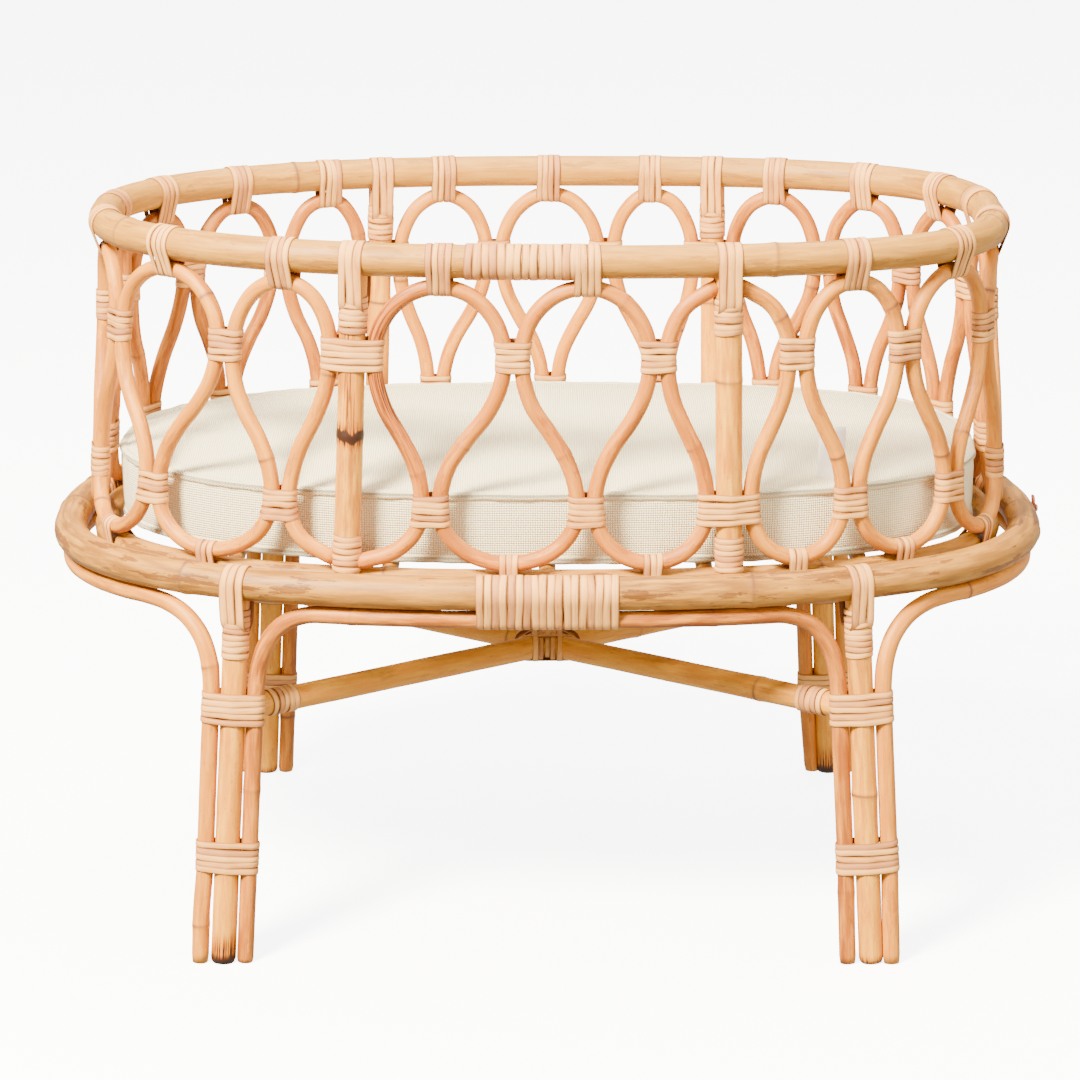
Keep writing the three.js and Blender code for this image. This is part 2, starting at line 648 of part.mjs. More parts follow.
// ---- The tag pinned to the right end of the stand hoop ------------------------------------------
const tagX = STAND_HOOP.halfLength + STAND_HOOP.radius + CLEARANCE + TAG.thickness / 2;
add("tag", box(TAG.thickness, TAG.width, TAG.height, tagX, TAG.y, STAND_HOOP.height), COPPER_LEATHER);
const pin = new THREE.CylinderGeometry(TAG.pinRadius, TAG.pinRadius, TAG.pinLength, 12);
const pinX = tagX + (TAG.thickness + TAG.pinLength) / 2 + CLEARANCE;
pin.rotateZ(Math.PI / 2).translate(pinX, TAG.y, STAND_HOOP.height);
add("tag_pin", pin, COPPER_LEATHER);

export default bassinet;
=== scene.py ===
"""The looks of the doll's bassinet on its stand: round rattan canes with knots and grain, wound
strips of peeled cane, and a loose canvas mattress. Lengths are metres; +Z up, the front at -Y."""

import math
import zlib

import bmesh
import bpy
import numpy as np
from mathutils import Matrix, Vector
from mathutils.bvhtree import BVHTree


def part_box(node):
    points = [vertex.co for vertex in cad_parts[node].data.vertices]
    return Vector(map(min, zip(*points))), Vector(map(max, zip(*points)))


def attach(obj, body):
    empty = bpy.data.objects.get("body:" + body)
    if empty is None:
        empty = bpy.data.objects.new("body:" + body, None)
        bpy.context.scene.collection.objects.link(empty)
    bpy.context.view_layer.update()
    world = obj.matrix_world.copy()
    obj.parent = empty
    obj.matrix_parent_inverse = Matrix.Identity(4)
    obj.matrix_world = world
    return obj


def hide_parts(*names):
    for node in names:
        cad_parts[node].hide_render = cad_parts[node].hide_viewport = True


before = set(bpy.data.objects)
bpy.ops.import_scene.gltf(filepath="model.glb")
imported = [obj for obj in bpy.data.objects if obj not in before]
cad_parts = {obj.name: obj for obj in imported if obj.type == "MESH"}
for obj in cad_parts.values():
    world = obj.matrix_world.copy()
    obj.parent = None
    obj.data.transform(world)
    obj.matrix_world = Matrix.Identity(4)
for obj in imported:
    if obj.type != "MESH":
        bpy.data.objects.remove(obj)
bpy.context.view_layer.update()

MM = 0.001
UP = np.array([0.0, 0.0, 1.0])

# ---- Sizes that the frame gives ------------------------------------------------------------------


def low(node):
    return np.array(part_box(node)[0])


def high(node):
    return np.array(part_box(node)[1])


def middle(node):
    return (low(node) + high(node)) / 2


def half_height(node):
    return (high(node)[2] - low(node)[2]) / 2


RIM_RADIUS = half_height("rim_hoop")
STAND_RADIUS = half_height("stand_hoop")
BASE_RADIUS = 7.0 * MM
STRAND_RADIUS = 4.2 * MM
POST_RADIUS = 6.9 * MM
SLAT_RADIUS = 4.5 * MM
LEG_RADIUS = 6.65 * MM
BRACE_RADIUS = 4.6 * MM
CROSS_RADIUS = 6.6 * MM

# How square each oval is at its left and right end: 2 is an ellipse.
RIM_ROUNDNESS = (2.2, 2.8)
STAND_ROUNDNESS = (2.5, 2.5)

FOOT_ZONE = 12 * MM

# ---- Paths ---------------------------------------------------------------------------------------


def unit(vector):
    return vector / np.linalg.norm(vector)


class Path:
    """A smooth line through points, measured by its own length."""

    DIVISIONS = 10

    def __init__(self, points, closed=False):
        points = np.array(points, float)
        self.closed = closed
        before, after = np.roll(points, 1, 0), np.roll(points, -1, 0)
        if not closed:
            before[0] = 2 * points[0] - points[1]
            after[-1] = 2 * points[-1] - points[-2]
        beyond = np.roll(after, -1, 0)
        if not closed:
            beyond[-2] = after[-1]
        spans = len(points) if closed else len(points) - 1
        dense = []
        for i in range(spans):
            p0, p1, p2, p3 = before[i], points[i], after[i], beyond[i]
            for t in np.arange(self.DIVISIONS) / self.DIVISIONS:
                dense.append(
                    p1
                    + 0.5 * t * (p2 - p0)
                    + t * t * (p0 - 2.5 * p1 + 2 * p2 - 0.5 * p3)
                    + t * t * t * (1.5 * (p1 - p2) + 0.5 * (p3 - p0))
                )
        dense.append(points[0] if closed else points[-1])
        self.points = np.array(dense)
        steps = np.linalg.norm(np.diff(self.points, axis=0), axis=1)
        self.lengths = np.concatenate([[0.0], np.cumsum(steps)])
        self.length = self.lengths[-1]

    def at(self, s):
        """The point, or the points, at a distance along the path."""
        s = np.asarray(s, float)
        s = s % self.length if self.closed else s
        return np.stack([np.interp(s, self.lengths, self.points[:, i]) for i in range(3)], -1)

    def direction(self, s):
        reach = 0.5 * MM
        s = s if self.closed else min(max(s, reach), self.length - reach)
        return unit(self.at(s + reach) - self.at(s - reach))

    def nearest(self, point):
        gaps = np.linalg.norm(self.points - point, axis=1)
        return self.lengths[int(np.argmin(gaps))]

    def turns(self, sign):
        """The distances at which the path tops out (sign 1) or bottoms out (sign -1)."""
        z = sign * self.points[:, 2]
        found = (z[1:-1] > z[:-2]) & (z[1:-1] >= z[2:])
        return self.lengths[1:-1][found]

    def crossings(self, height):
        """The distances at which the path passes a height."""
        z = self.points[:, 2] - height
        found = np.nonzero(np.sign(z[:-1]) != np.sign(z[1:]))[0]
        share = z[found] / (z[found] - z[found + 1])
        return self.lengths[found] + share * (self.lengths[found + 1] - self.lengths[found])


def oval(half_length, half_width, height, roundness, count=720):
    """The points of an oval seen from above, anticlockwise from +X."""
    points = []
    for i in range(count):
        cos, sin = math.cos(2 * math.pi * i / count), math.sin(2 * math.pi * i / count)
        power = 2 / roundness[0 if cos < 0 else 1]
        x = half_length * math.copysign(abs(cos) ** power, cos)
        y = half_width * math.copysign(abs(sin) ** power, sin)
        points.append((x, y, height))
    return points


def hoop_path(node, radius, roundness):
    reach = (high(node) - low(node)) / 2
    points = oval(reach[0] - radius, reach[1] - radius, middle(node)[2], roundness)
    dense = Path(points, closed=True)
    return Path(dense.at(np.arange(240) / 240 * dense.length), closed=True)


def bent_cane_path(node, radius):
    """The centreline of a CAD cane, from the middles of its sections, end to end."""
    work = bmesh.new()
    work.from_mesh(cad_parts[node].data)
    bmesh.ops.remove_doubles(work, verts=work.verts, dist=1e-5)
    end_edge = 2.02 * radius
    on_ends = {
        vert
        for face in work.faces
        if max(edge.calc_length() for edge in face.edges) < end_edge
        for vert in face.verts
    }
    first = max(on_ends, key=lambda vert: vert.co.z + vert.co.x)
    ring = {vert for vert in on_ends if (vert.co - first.co).length < end_edge}
    seen = set(ring)
    centres = []
    while ring:
        centres.append(np.mean([vert.co for vert in ring], axis=0))
        ring = {edge.other_vert(vert) for vert in ring for edge in vert.link_edges} - seen
        seen |= ring
    work.free()
    return Path(stand_straight(stand_straight(centres)[::-1]))


def stand_straight(centres):
    """A line that starts near the floor starts on it instead, straight below its next points."""
    if centres[0][2] > FOOT_ZONE:
        return centres
    above = centres[next(i for i, centre in enumerate(centres) if centre[2] > FOOT_ZONE) :]
    step = above[1] - above[0]
    foot = above[0] - step * above[0][2] / step[2]
    return [foot, (foot + above[0]) / 2, *above]


def straight_path(start, end, count=8):
    return Path([start + (end - start) * i / count for i in range(count + 1)])


def outward(point):
    """The level direction away from the middle of the oval."""
    return unit(np.array([point[0] * 0.3, point[1], 0.0]))


rim_path = hoop_path("rim_hoop", RIM_RADIUS, RIM_ROUNDNESS)
stand_path = hoop_path("stand_hoop", STAND_RADIUS, STAND_ROUNDNESS)
base_path = hoop_path("base_hoop", BASE_RADIUS, STAND_ROUNDNESS)
STRANDS = ("front", "right_front", "right_back", "back", "left_back", "left_front")
CORNERS = ("front_left", "front_right", "back_right", "back_left")
SIDES = ("front", "back", "left", "right")
brace_paths = {name: bent_cane_path(f"brace_{name}", BRACE_RADIUS) for name in SIDES}


def cap_middle(node, height):
    """The middle of a CAD pole's flat end, which lies near a height."""
    near = 2.5 * MM
    points = [v.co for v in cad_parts[node].data.vertices if abs(v.co.z - height) < near]
    return np.mean(np.unique(np.round(points, 5), axis=0), axis=0)


def leg_path(corner):
    foot = cap_middle(f"leg_{corner}", 0.0)
    held = middle(f"wrap_leg_top_{corner}")
    top = middle("stand_hoop")[2] - 4 * MM
    return straight_path(foot, foot + (held - foot) * (top - foot[2]) / (held[2] - foot[2]))


def post_path(corner):
    node = f"post_{corner}"
    foot = cap_middle(node, low(node)[2])
    held = middle(f"wrap_post_{corner}")
    top = middle("rim_hoop")[2] - 4 * MM
    foot_height = middle("base_hoop")[2] + 3 * MM
    start = foot + (held - foot) * (foot_height - foot[2]) / (held[2] - foot[2])
    return straight_path(start, foot + (held - foot) * (top - foot[2]) / (held[2] - foot[2]))


def cross_path(side, front_corner, back_corner):
    front, back = middle(f"wrap_cross_{front_corner}"), middle(f"wrap_cross_{back_corner}")
    along = unit(back - front)
    reach = np.linalg.norm(high(f"cross_pole_{side}") - low(f"cross_pole_{side}")) / 2
    centre = (front + back) / 2
    return straight_path(centre - along * reach, centre + along * reach)


def strand_path(name):
    """A strand's centreline, which reaches into the posts that it ends against."""
    path = bent_cane_path(f"strand_{name}", STRAND_RADIUS)
    points = [path.at(s) for s in np.linspace(0, path.length, round(path.length / (6 * MM)))]
    for s, sign in ((0.0, -1), (path.length, 1)):
        end = path.at(s)
        gap = min(np.linalg.norm(post.points - end, axis=1).min() for post in post_paths.values())
        if gap < 2 * POST_RADIUS:
            beyond = end + sign * 3 * MM * path.direction(s)
            points = [beyond, *points] if sign < 0 else [*points, beyond]
    return Path(points)


leg_paths = {corner: leg_path(corner) for corner in CORNERS}
post_paths = {corner: post_path(corner) for corner in CORNERS}
strand_paths = {name: strand_path(name) for name in STRANDS}
cross_paths = {
    "left": cross_path("left", "front_left", "back_right"),
    "right": cross_path("right", "front_right", "back_left"),
}

# ---- Materials -----------------------------------------------------------------------------------


class Shader:
    """A material's nodes, added one at a time."""

    def __init__(self, name):
        self.material = bpy.data.materials.new(name)
        self.material.use_nodes = True
        self.tree = self.material.node_tree
        self.surface = self.tree.nodes["Principled BSDF"]

    def add(self, kind, links=None, **settings):
        node = self.tree.nodes.new(kind)
        for key, value in settings.items():
            setattr(node, key, value)
        for socket, value in (links or {}).items():
            self.give(node.inputs[socket], value)
        return node

    def give(self, socket, value):
        if isinstance(value, bpy.types.NodeSocket):
            self.tree.links.new(value, socket)
        elif socket.type == "RGBA" and len(value) == 3:
            socket.default_value = (*value, 1.0)
        else:
            socket.default_value = value

    def attribute(self, name):
        return self.add("ShaderNodeAttribute", attribute_name=name).outputs["Vector"]

    def parts(self, vector):
        return self.add("ShaderNodeSeparateXYZ", {0: vector}).outputs

    def math(self, operation, a, b=0.0, clamp=False):
        return self.add("ShaderNodeMath", {0: a, 1: b}, operation=operation, use_clamp=clamp).outputs[0]

    def stretched(self, vector, scale):
        return self.add("ShaderNodeMapping", {"Vector": vector, "Scale": scale}).outputs[0]

    def noise(self, vector, scale, detail=3.0, roughness=0.55):
        """Smooth noise, from 0 to 1, with its own scale per metre along each axis."""
        links = {
            "Vector": self.stretched(vector, scale),
            "Scale": 1.0,
            "Detail": detail,
            "Roughness": roughness,
        }
        return self.add("ShaderNodeTexNoise", links).outputs["Fac"]

    def band(self, value, start, end):
        """Takes start..end to 0..1 smoothly."""
        links = {"Value": value, "From Min": start, "From Max": end}
        return self.add("ShaderNodeMapRange", links, interpolation_type="SMOOTHSTEP").outputs[0]

    def mix(self, share, a, b, blend="MIX"):
        node = self.add("ShaderNodeMix", data_type="RGBA", blend_type=blend)
        self.give(node.inputs[0], share)
        self.give(node.inputs[6], a)
        self.give(node.inputs[7], b)
        return node.outputs[2]

    def bump(self, height, distance, normal=None):
        links = {"Height": height, "Distance": distance, "Strength": 1.0}
        if normal is not None:
            links["Normal"] = normal
        return self.add("ShaderNodeBump", links).outputs[0]

    def finish(self, colour, roughness, normal, **settings):
        self.give(self.surface.inputs["Base Color"], colour)
        self.give(self.surface.inputs["Roughness"], roughness)
        self.give(self.surface.inputs["Normal"], normal)
        for socket, value in settings.items():
            self.surface.inputs[socket.replace("_", " ")].default_value = value
        return self.material


def rgb(red, green, blue):
    """A colour as it shows on a screen, 0 to 255 and not near black, turned into a linear one."""
    return tuple(((channel / 255 + 0.055) / 1.055) ** 2.4 for channel in (red, green, blue))


KNOT_BROWN = (0.16, 0.055, 0.02)
FLECK_BROWN = (0.17, 0.06, 0.02)
AMBER = (0.80, 0.58, 0.28)
TOAST_BROWN = (0.42, 0.33, 0.24)
SCORCH_BROWN = (0.035, 0.011, 0.003)


def cane_material(name, pale, mean, deep, patches):
    """Rattan: long fibres, slow changes of tone, dark flecks, knots, stains and skin left in patches."""
    shader = Shader(name)
    grain = shader.attribute("grain")
    knot, scorch, tone = shader.parts(shader.attribute("marks"))
    fibre = shader.noise(grain, (45, 2600, 2600), detail=4)
    slow = shader.noise(grain, (11, 60, 60), detail=2)
    cloud = shader.noise(grain, (42, 330, 330), detail=4)
    flecks = shader.noise(grain, (190, 1900, 1900), detail=2, roughness=0.7)
    skin = shader.noise(grain, (22, 120, 120), detail=5, roughness=0.68)

    blend = shader.math("ADD", shader.math("MULTIPLY", slow, 1.1), shader.math("MULTIPLY", tone, 0.42))
    colour = shader.mix(shader.band(blend, 0.34, 0.78), deep, mean)
    colour = shader.mix(shader.band(cloud, 0.36, 0.72), colour, pale)
    dark_fibre = shader.math("MULTIPLY", shader.band(fibre, 0.52, 0.8), 0.45)
    colour = shader.mix(dark_fibre, colour, deep, "MULTIPLY")
    skin_edge = shader.band(skin, 0.56, 0.58)
    colour = shader.mix(shader.math("MULTIPLY", skin_edge, patches), colour, deep, "MULTIPLY")
    fleck_share = shader.math("MULTIPLY", shader.band(flecks, 0.64, 0.74), 0.75)
    colour = shader.mix(fleck_share, colour, FLECK_BROWN)
    colour = shader.mix(shader.math("MULTIPLY", knot, 0.95), colour, KNOT_BROWN)
    threads = shader.band(shader.noise(grain, (34, 1300, 1300), detail=3), 0.47, 0.56)
    solid = shader.math("MULTIPLY", shader.math("SUBTRACT", scorch, 0.9), 2.5, clamp=True)
    streaked = shader.math("MULTIPLY", scorch, threads)
    ragged = shader.math("ADD", streaked, solid, clamp=True)
    warmed = shader.math("MULTIPLY", shader.band(scorch, 0.0, 0.8), shader.math("ADD", cloud, 0.3))
    colour = shader.mix(warmed, colour, AMBER, "MULTIPLY")
    colour = shader.mix(shader.band(ragged, 0.0, 0.5), colour, TOAST_BROWN, "MULTIPLY")
    colour = shader.mix(shader.band(ragged, 0.35, 0.8), colour, SCORCH_BROWN)

    roughness = shader.math("ADD", shader.math("MULTIPLY", cloud, 0.26), 0.34)
    normal = shader.bump(fibre, 0.10 * MM)
    normal = shader.bump(skin_edge, 0.12 * MM * max(patches, 0.05), normal)
    normal = shader.bump(cloud, 0.25 * MM, normal)
    return shader.finish(colour, roughness, normal, Specular_IOR_Level=0.3)


DUSKY_STRIP = (0.44, 0.19, 0.09)


def strip_material(name, pale, mean, deep):
    """Peeled cane strip: matte, streaked along its length, with painted shade where its edges tuck in."""
    shader = Shader(name)
    grain = shader.attribute("grain")
    edge, _, tone = shader.parts(shader.attribute("marks"))
    streak = shader.noise(grain, (60, 2300, 2300), detail=4)
    cloud = shader.noise(grain, (160, 500, 500), detail=3)
    blend = shader.math("ADD", shader.math("MULTIPLY", cloud, 0.6), shader.math("MULTIPLY", tone, 0.8))
    colour = shader.mix(shader.band(blend, 0.3, 0.95), mean, pale)
    dusky = shader.math("MULTIPLY", shader.band(blend, 0.62, 0.35), 0.45)
    colour = shader.mix(dusky, colour, DUSKY_STRIP)
    colour = shader.mix(shader.math("MULTIPLY", shader.band(streak, 0.5, 0.74), 0.5), colour, deep)
    # painted shade: the strip's edges darken towards its deep colour, for the gaps between turns
    colour = shader.mix(shader.math("MULTIPLY", shader.band(edge, 0.5, 1.0), 0.85), colour, deep)
    roughness = shader.math("ADD", shader.math("MULTIPLY", streak, 0.2), 0.52)
    normal = shader.bump(streak, 0.14 * MM)
    return shader.finish(colour, roughness, normal, Specular_IOR_Level=0.2)


WEAVE_PITCH = 1.25 * MM


def canvas_material(name, thread, gap):
    """Plain-woven cotton canvas: threads that pass over and under each other, uneven in thickness."""
    shader = Shader(name)
    cloth = shader.attribute("cloth")
    wander = shader.noise(cloth, (260, 260, 260), detail=2)
    u, v, _ = shader.parts(shader.stretched(cloth, (1 / WEAVE_PITCH,) * 3))
    u = shader.math("ADD", u, shader.math("MULTIPLY", wander, 0.5))
    across_u = shader.math("ABSOLUTE", shader.math("SINE", shader.math("MULTIPLY", u, math.pi)))
    across_v = shader.math("ABSOLUTE", shader.math("SINE", shader.math("MULTIPLY", v, math.pi)))
    cell = shader.add("ShaderNodeCombineXYZ", {0: u, 1: v, 2: 0.5}).outputs[0]
    over = shader.add("ShaderNodeTexChecker", {"Vector": cell, "Scale": 1.0}).outputs["Fac"]
    warp = shader.math("MULTIPLY", across_u, shader.math("ADD", across_v, 0.6))
    weft = shader.math("MULTIPLY", across_v, shader.math("ADD", across_u, 0.45))
    under = shader.math("SUBTRACT", 1.0, over)
    height = shader.math(
        "ADD", shader.math("MULTIPLY", warp, over), shader.math("MULTIPLY", weft, under)
    )
    slub = shader.noise(cloth, (90, 1500, 1500), detail=3)
    slow = shader.noise(cloth, (16, 16, 16), detail=2)
    # painted shade: the low gaps between the threads take the darker gap colour
    colour = shader.mix(shader.band(height, 0.1, 0.85), gap, thread)
    colour = shader.mix(shader.math("MULTIPLY", shader.band(slub, 0.55, 0.8), 0.18), colour, gap)
    colour = shader.mix(shader.math("MULTIPLY", shader.band(slow, 0.4, 0.75), 0.12), colour, gap)
    roughness = shader.math("ADD", shader.math("MULTIPLY", slub, 0.08), 0.86)
    normal = shader.bump(height, 0.34 * MM)
    return shader.finish(colour, roughness, normal, Specular_IOR_Level=0.15, Sheen_Weight=0.12)


def ribbon_material():
    """Fine white ribbon with a faint rib across it."""
    shader = Shader("white_ribbon")
    cloth = shader.attribute("cloth")
    ribs = shader.parts(shader.stretched(cloth, (1 / (0.5 * MM),) * 3))[1]
    rib = shader.math("ABSOLUTE", shader.math("SINE", shader.math("MULTIPLY", ribs, math.pi)))
    cloud = shader.noise(cloth, (300, 300, 300))
    colour = shader.mix(shader.band(rib, 0.0, 0.6), rgb(240, 234, 222), rgb(255, 252, 244))
    colour = shader.mix(shader.math("MULTIPLY", cloud, 0.12), colour, rgb(214, 208, 200))
    roughness = shader.math("ADD", shader.math("MULTIPLY", cloud, 0.2), 0.55)
    return shader.finish(colour, roughness, shader.bump(rib, 0.05 * MM), Sheen_Weight=0.1)


def leather_material():
    """Reddish-brown leather with a pebbled grain and paler, rubbed high spots."""
    shader = Shader("red_leather")
    place = shader.add("ShaderNodeTexCoord").outputs["Object"]
    links = {"Vector": place, "Scale": 900.0}
    pebble = shader.add("ShaderNodeTexVoronoi", links).outputs["Distance"]
    cloud = shader.noise(place, (160, 160, 160))
    colour = shader.mix(shader.band(cloud, 0.3, 0.7), rgb(132, 56, 38), rgb(176, 88, 62))
    colour = shader.mix(shader.band(pebble, 0.5, 0.0), colour, rgb(96, 40, 28))
    roughness = shader.math("ADD", shader.math("MULTIPLY", cloud, 0.3), 0.38)
    return shader.finish(colour, roughness, shader.bump(pebble, 0.08 * MM))


def copper_material():
    """Brushed copper with fine turning marks and slight tarnish."""
    shader = Shader("copper_pin")
    place = shader.add("ShaderNodeTexCoord").outputs["Object"]
    brushed = shader.noise(place, (900, 4200, 4200))
    cloud = shader.noise(place, (500, 500, 500))
    colour = shader.mix(shader.band(cloud, 0.35, 0.7), rgb(150, 84, 60), rgb(206, 140, 108))
    roughness = shader.math("ADD", shader.math("MULTIPLY", brushed, 0.25), 0.22)
    return shader.finish(colour, roughness, shader.bump(brushed, 0.02 * MM), Metallic=1.0)


FLOOR_GLOW = 6.5


def floor_material():
    """A plain pale floor with the least unevenness."""
    shader = Shader("pale_floor")
    place = shader.add("ShaderNodeTexCoord").outputs["Object"]
    cloud = shader.noise(place, (2, 2, 2))
    colour = shader.mix(shader.math("MULTIPLY", cloud, 0.02), (0.95, 0.95, 0.95), (0.86, 0.86, 0.86))
    settings = {"Specular_IOR_Level": 0.0, "Emission_Color": (1, 1, 1, 1), "Emission_Strength": FLOOR_GLOW}
    return shader.finish(colour, 0.9, shader.bump(cloud, 0.01 * MM), **settings)


# Base colours are linear: pale, mean and deep.
HONEY = cane_material(
    "honey_cane", (0.54, 0.25, 0.028), (0.43, 0.18, 0.013), (0.24, 0.09, 0.006), patches=0.3
)
PATCHED = cane_material(
    "patched_cane", (0.50, 0.22, 0.024), (0.38, 0.155, 0.012), (0.20, 0.075, 0.006), patches=0.6
)
STRAW = cane_material(
    "straw_cane", (0.82, 0.37, 0.022), (0.72, 0.26, 0.009), (0.34, 0.10, 0.005), patches=0.2
)
TAN = cane_material(
    "tan_cane", (0.72, 0.28, 0.02), (0.58, 0.19, 0.008), (0.28, 0.075, 0.004), patches=0.28
)
PINK = cane_material(
    "pink_cane", (0.64, 0.22, 0.018), (0.51, 0.148, 0.007), (0.25, 0.058, 0.003), patches=0.32
)
STRIP = strip_material("peeled_strip", (0.82, 0.39, 0.10), (0.62, 0.24, 0.05), (0.18, 0.055, 0.01))
# the second colour is painted shade in the weave's gaps, and also the darker tone of slubs
CANVAS = canvas_material("ivory_canvas", (1.0, 0.90, 0.56), (0.62, 0.50, 0.26))
RIBBON = ribbon_material()
LEATHER = leather_material()
COPPER = copper_material()
FLOOR = floor_material()

# ---- Mesh building -------------------------------------------------------------------------------


def seed_of(name):
    return np.random.default_rng(zlib.crc32(name.encode()))


class Build:
    """Gathers vertices, faces and their marks, and becomes one object."""

    def __init__(self):
        self.points, self.faces, self.grain, self.marks = [], [], [], []

    def row(self, points, grain, marks):
        """Adds one ring of points, and returns where it starts."""
        start = len(self.points)
        self.points.extend(points)
        self.grain.extend(grain)
        self.marks.extend(marks)
        return start

    def skin(self, first, second, count):
        """Faces between two closed rings."""
        for i in range(count):
            j = (i + 1) % count
            self.faces.append((first + i, first + j, second + j, second + i))

    def fan(self, ring, count, centre, flip):
        """Closes a ring over a middle point."""
        for i in range(count):
            j = (i + 1) % count
            self.faces.append((ring + j, ring + i, centre) if flip else (ring + i, ring + j, centre))

    def object(self, name, material):
        mesh = bpy.data.meshes.new(name)
        mesh.from_pydata([tuple(p) for p in self.points], [], self.faces)
        for key, values in (("grain", self.grain), ("marks", self.marks)):
            layer = mesh.attributes.new(key, "FLOAT_VECTOR", "POINT")
            layer.data.foreach_set("vector", np.array(values, np.float32).ravel())
        mesh.shade_smooth()
        mesh.materials.append(material)
        made = bpy.data.objects.new(name, mesh)
        bpy.context.scene.collection.objects.link(made)
        return made


def show(piece, body, slot, *nodes):
    """Puts a finished piece on its body, in place of its CAD nodes; the slot is not used."""
    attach(piece, body)
    if nodes:
        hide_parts(*nodes)
    return piece


# ---- Canes ---------------------------------------------------------------------------------------
RING_STEP = 2.4 * MM
KNOT_SPACING = (130 * MM, 250 * MM)
KNOT_OFFSETS = np.array([-5, -2.5, -1.3, -0.6, -0.2, 0.2, 0.6, 1.3, 2.5, 5]) * MM
KNOT_RISE = 0.04
KNOT_WIDTH = 0.95 * MM
WAVER = 0.011
FLOOR_GAP = 0.1 * MM


def knot_places(rng, length, spacing):
    places = []
    at = rng.uniform(0.2, 0.9) * spacing[0]
    while at < length - 8 * MM:
        places.append(at)
        at += rng.uniform(*spacing)
    return np.array(places)


def cane(name, path, radius, material, facing=outward, sides=18, knots=None, scorch=None):
    """A round cane along a path: it wavers in thickness and swells to a ridge at each knot."""
    rng = seed_of(name)
    if knots is None:
        knots = knot_places(rng, path.length, KNOT_SPACING)
    stations = np.arange(0.0, path.length, RING_STEP)
    if len(knots):
        stations = np.concatenate([stations, (knots[:, None] + KNOT_OFFSETS).ravel()])
    stations = np.unique(np.clip(stations, 0.0, path.length))
    stations = stations[np.concatenate([[True], np.diff(stations) > 0.15 * MM])]
    if not path.closed:
        stations[-1] = path.length
    phases = rng.uniform(0, 2 * math.pi, 6)
    slip = rng.uniform(0, 9, 3)
    tone = rng.uniform(0, 1)
    angles = 2 * math.pi * np.arange(sides) / sides
    build = Build()
    rings = []
    for s in stations:
        point, along = path.at(s), path.direction(s)
        side = unit(facing(point) - along * np.dot(facing(point), along))
        other = np.cross(along, side)
        gaps = (s - knots) if len(knots) else np.array([1.0])
        near = gaps[int(np.argmin(np.abs(gaps)))]
        ridge = math.exp(-((near / (2.2 * MM)) ** 2)) + 0.5 * math.exp(-((near / (6 * MM)) ** 2))
        turn = 2 * math.pi * s / path.length if path.closed else s / (31 * MM)
        waver = math.sin(3 * turn + phases[0]) + 0.6 * math.sin(7 * turn + phases[1])
        reach = radius * (1 - WAVER + 0.5 * WAVER * waver + KNOT_RISE * ridge)
        lean = 0.012 * np.sin(2 * angles + phases[2]) + 0.006 * np.sin(3 * angles + phases[3] + 2 * turn)
        if not path.closed and s in (stations[0], stations[-1]):
            reach *= 0.9
        reaches = reach * (1 + lean)
        spots = (
            point
            + np.outer(np.cos(angles) * reaches, side)
            + np.outer(np.sin(angles) * reaches, other)
        )
        spots[:, 2] = np.maximum(spots[:, 2], FLOOR_GAP)
        skewed = near + 0.5 * MM * np.sin(angles + phases[4])
        worn = 0.62 + 0.38 * np.sin(angles + phases[5])
        knot = worn * np.exp(-((skewed / KNOT_WIDTH) ** 2))
        burnt = scorch(point, spots) if scorch else np.zeros(sides)
        grain = np.column_stack(
            [np.full(sides, s), np.cos(angles) * radius, np.sin(angles) * radius]
        ) + slip
        marks = [(k, b, tone) for k, b in zip(knot, burnt, strict=True)]
        rings.append(build.row(spots, grain, marks))
    for first, second in zip(rings[:-1], rings[1:], strict=True):
        build.skin(first, second, sides)
    if path.closed:
        build.skin(rings[-1], rings[0], sides)
    else:
        for ring, s, flip in ((rings[0], 0.0, True), (rings[-1], path.length, False)):
            reach = -0.25 * MM if flip else 0.25 * MM
            centre = path.at(s) + reach * path.direction(s)
            centre[2] = max(centre[2], FLOOR_GAP)
            middle_point = build.row([centre], [build.grain[ring]], [build.marks[ring]])
            build.fan(ring, sides, middle_point, flip)
    return build.object(name, material)


def upright(point):
    return UP


def stain(centre, reach, strength):
    """A dark mark that fades out from a place on a cane."""

    def scorch(point, spots):
        gaps = (spots - np.array(centre)) / np.array(reach)
        return strength * np.exp(-(gaps**2).sum(axis=1))

    return scorch


def ring_burn(centre):
    """A ragged burnt ring round a post, with the cane above it toasted."""

    def scorch(point, spots):
        height = spots[:, 2] - centre[2]
        across = (spots[:, 0] - centre[0]) / MM
        ragged = height + (1.3 * np.sin(across / 2.3 + 1) + 0.5 * np.sin(across / 0.9)) * MM
        toasted = 0.55 * np.clip(height / (6 * MM), 0, 1) * np.exp(-((across / 4) ** 2))
        return 1.45 * np.exp(-((ragged / (4.4 * MM)) ** 2)) + toasted

    return scorch


def make_hoops():
    for node, path, radius, material in (
        ("rim_hoop", rim_path, RIM_RADIUS, HONEY),
        ("stand_hoop", stand_path, STAND_RADIUS, PATCHED),
        ("base_hoop", base_path, BASE_RADIUS, PATCHED),
    ):
        piece = cane(f"bent_{node}", path, radius, material, facing=upright, sides=28)
        show(piece, "frame", "honey_cane", node)


PINK_STRANDS = ("front", "right_back", "left_back")
PINK_BRACES = ("front", "back")


def make_strands():
    post = post_paths["front_left"]
    on_post = post.at(post.crossings(high("mattress")[2] + 66 * MM)[0])
    marked = stain(on_post + np.array([26 * MM, 0, 0]), (24 * MM, 20 * MM, 46 * MM), 0.88)
    for name, path in strand_paths.items():
        material = PINK if name in PINK_STRANDS else TAN
        piece = cane(f"bent_strand_{name}", path, STRAND_RADIUS, material, scorch=marked)
        show(piece, "frame", "pink_cane", f"strand_{name}")


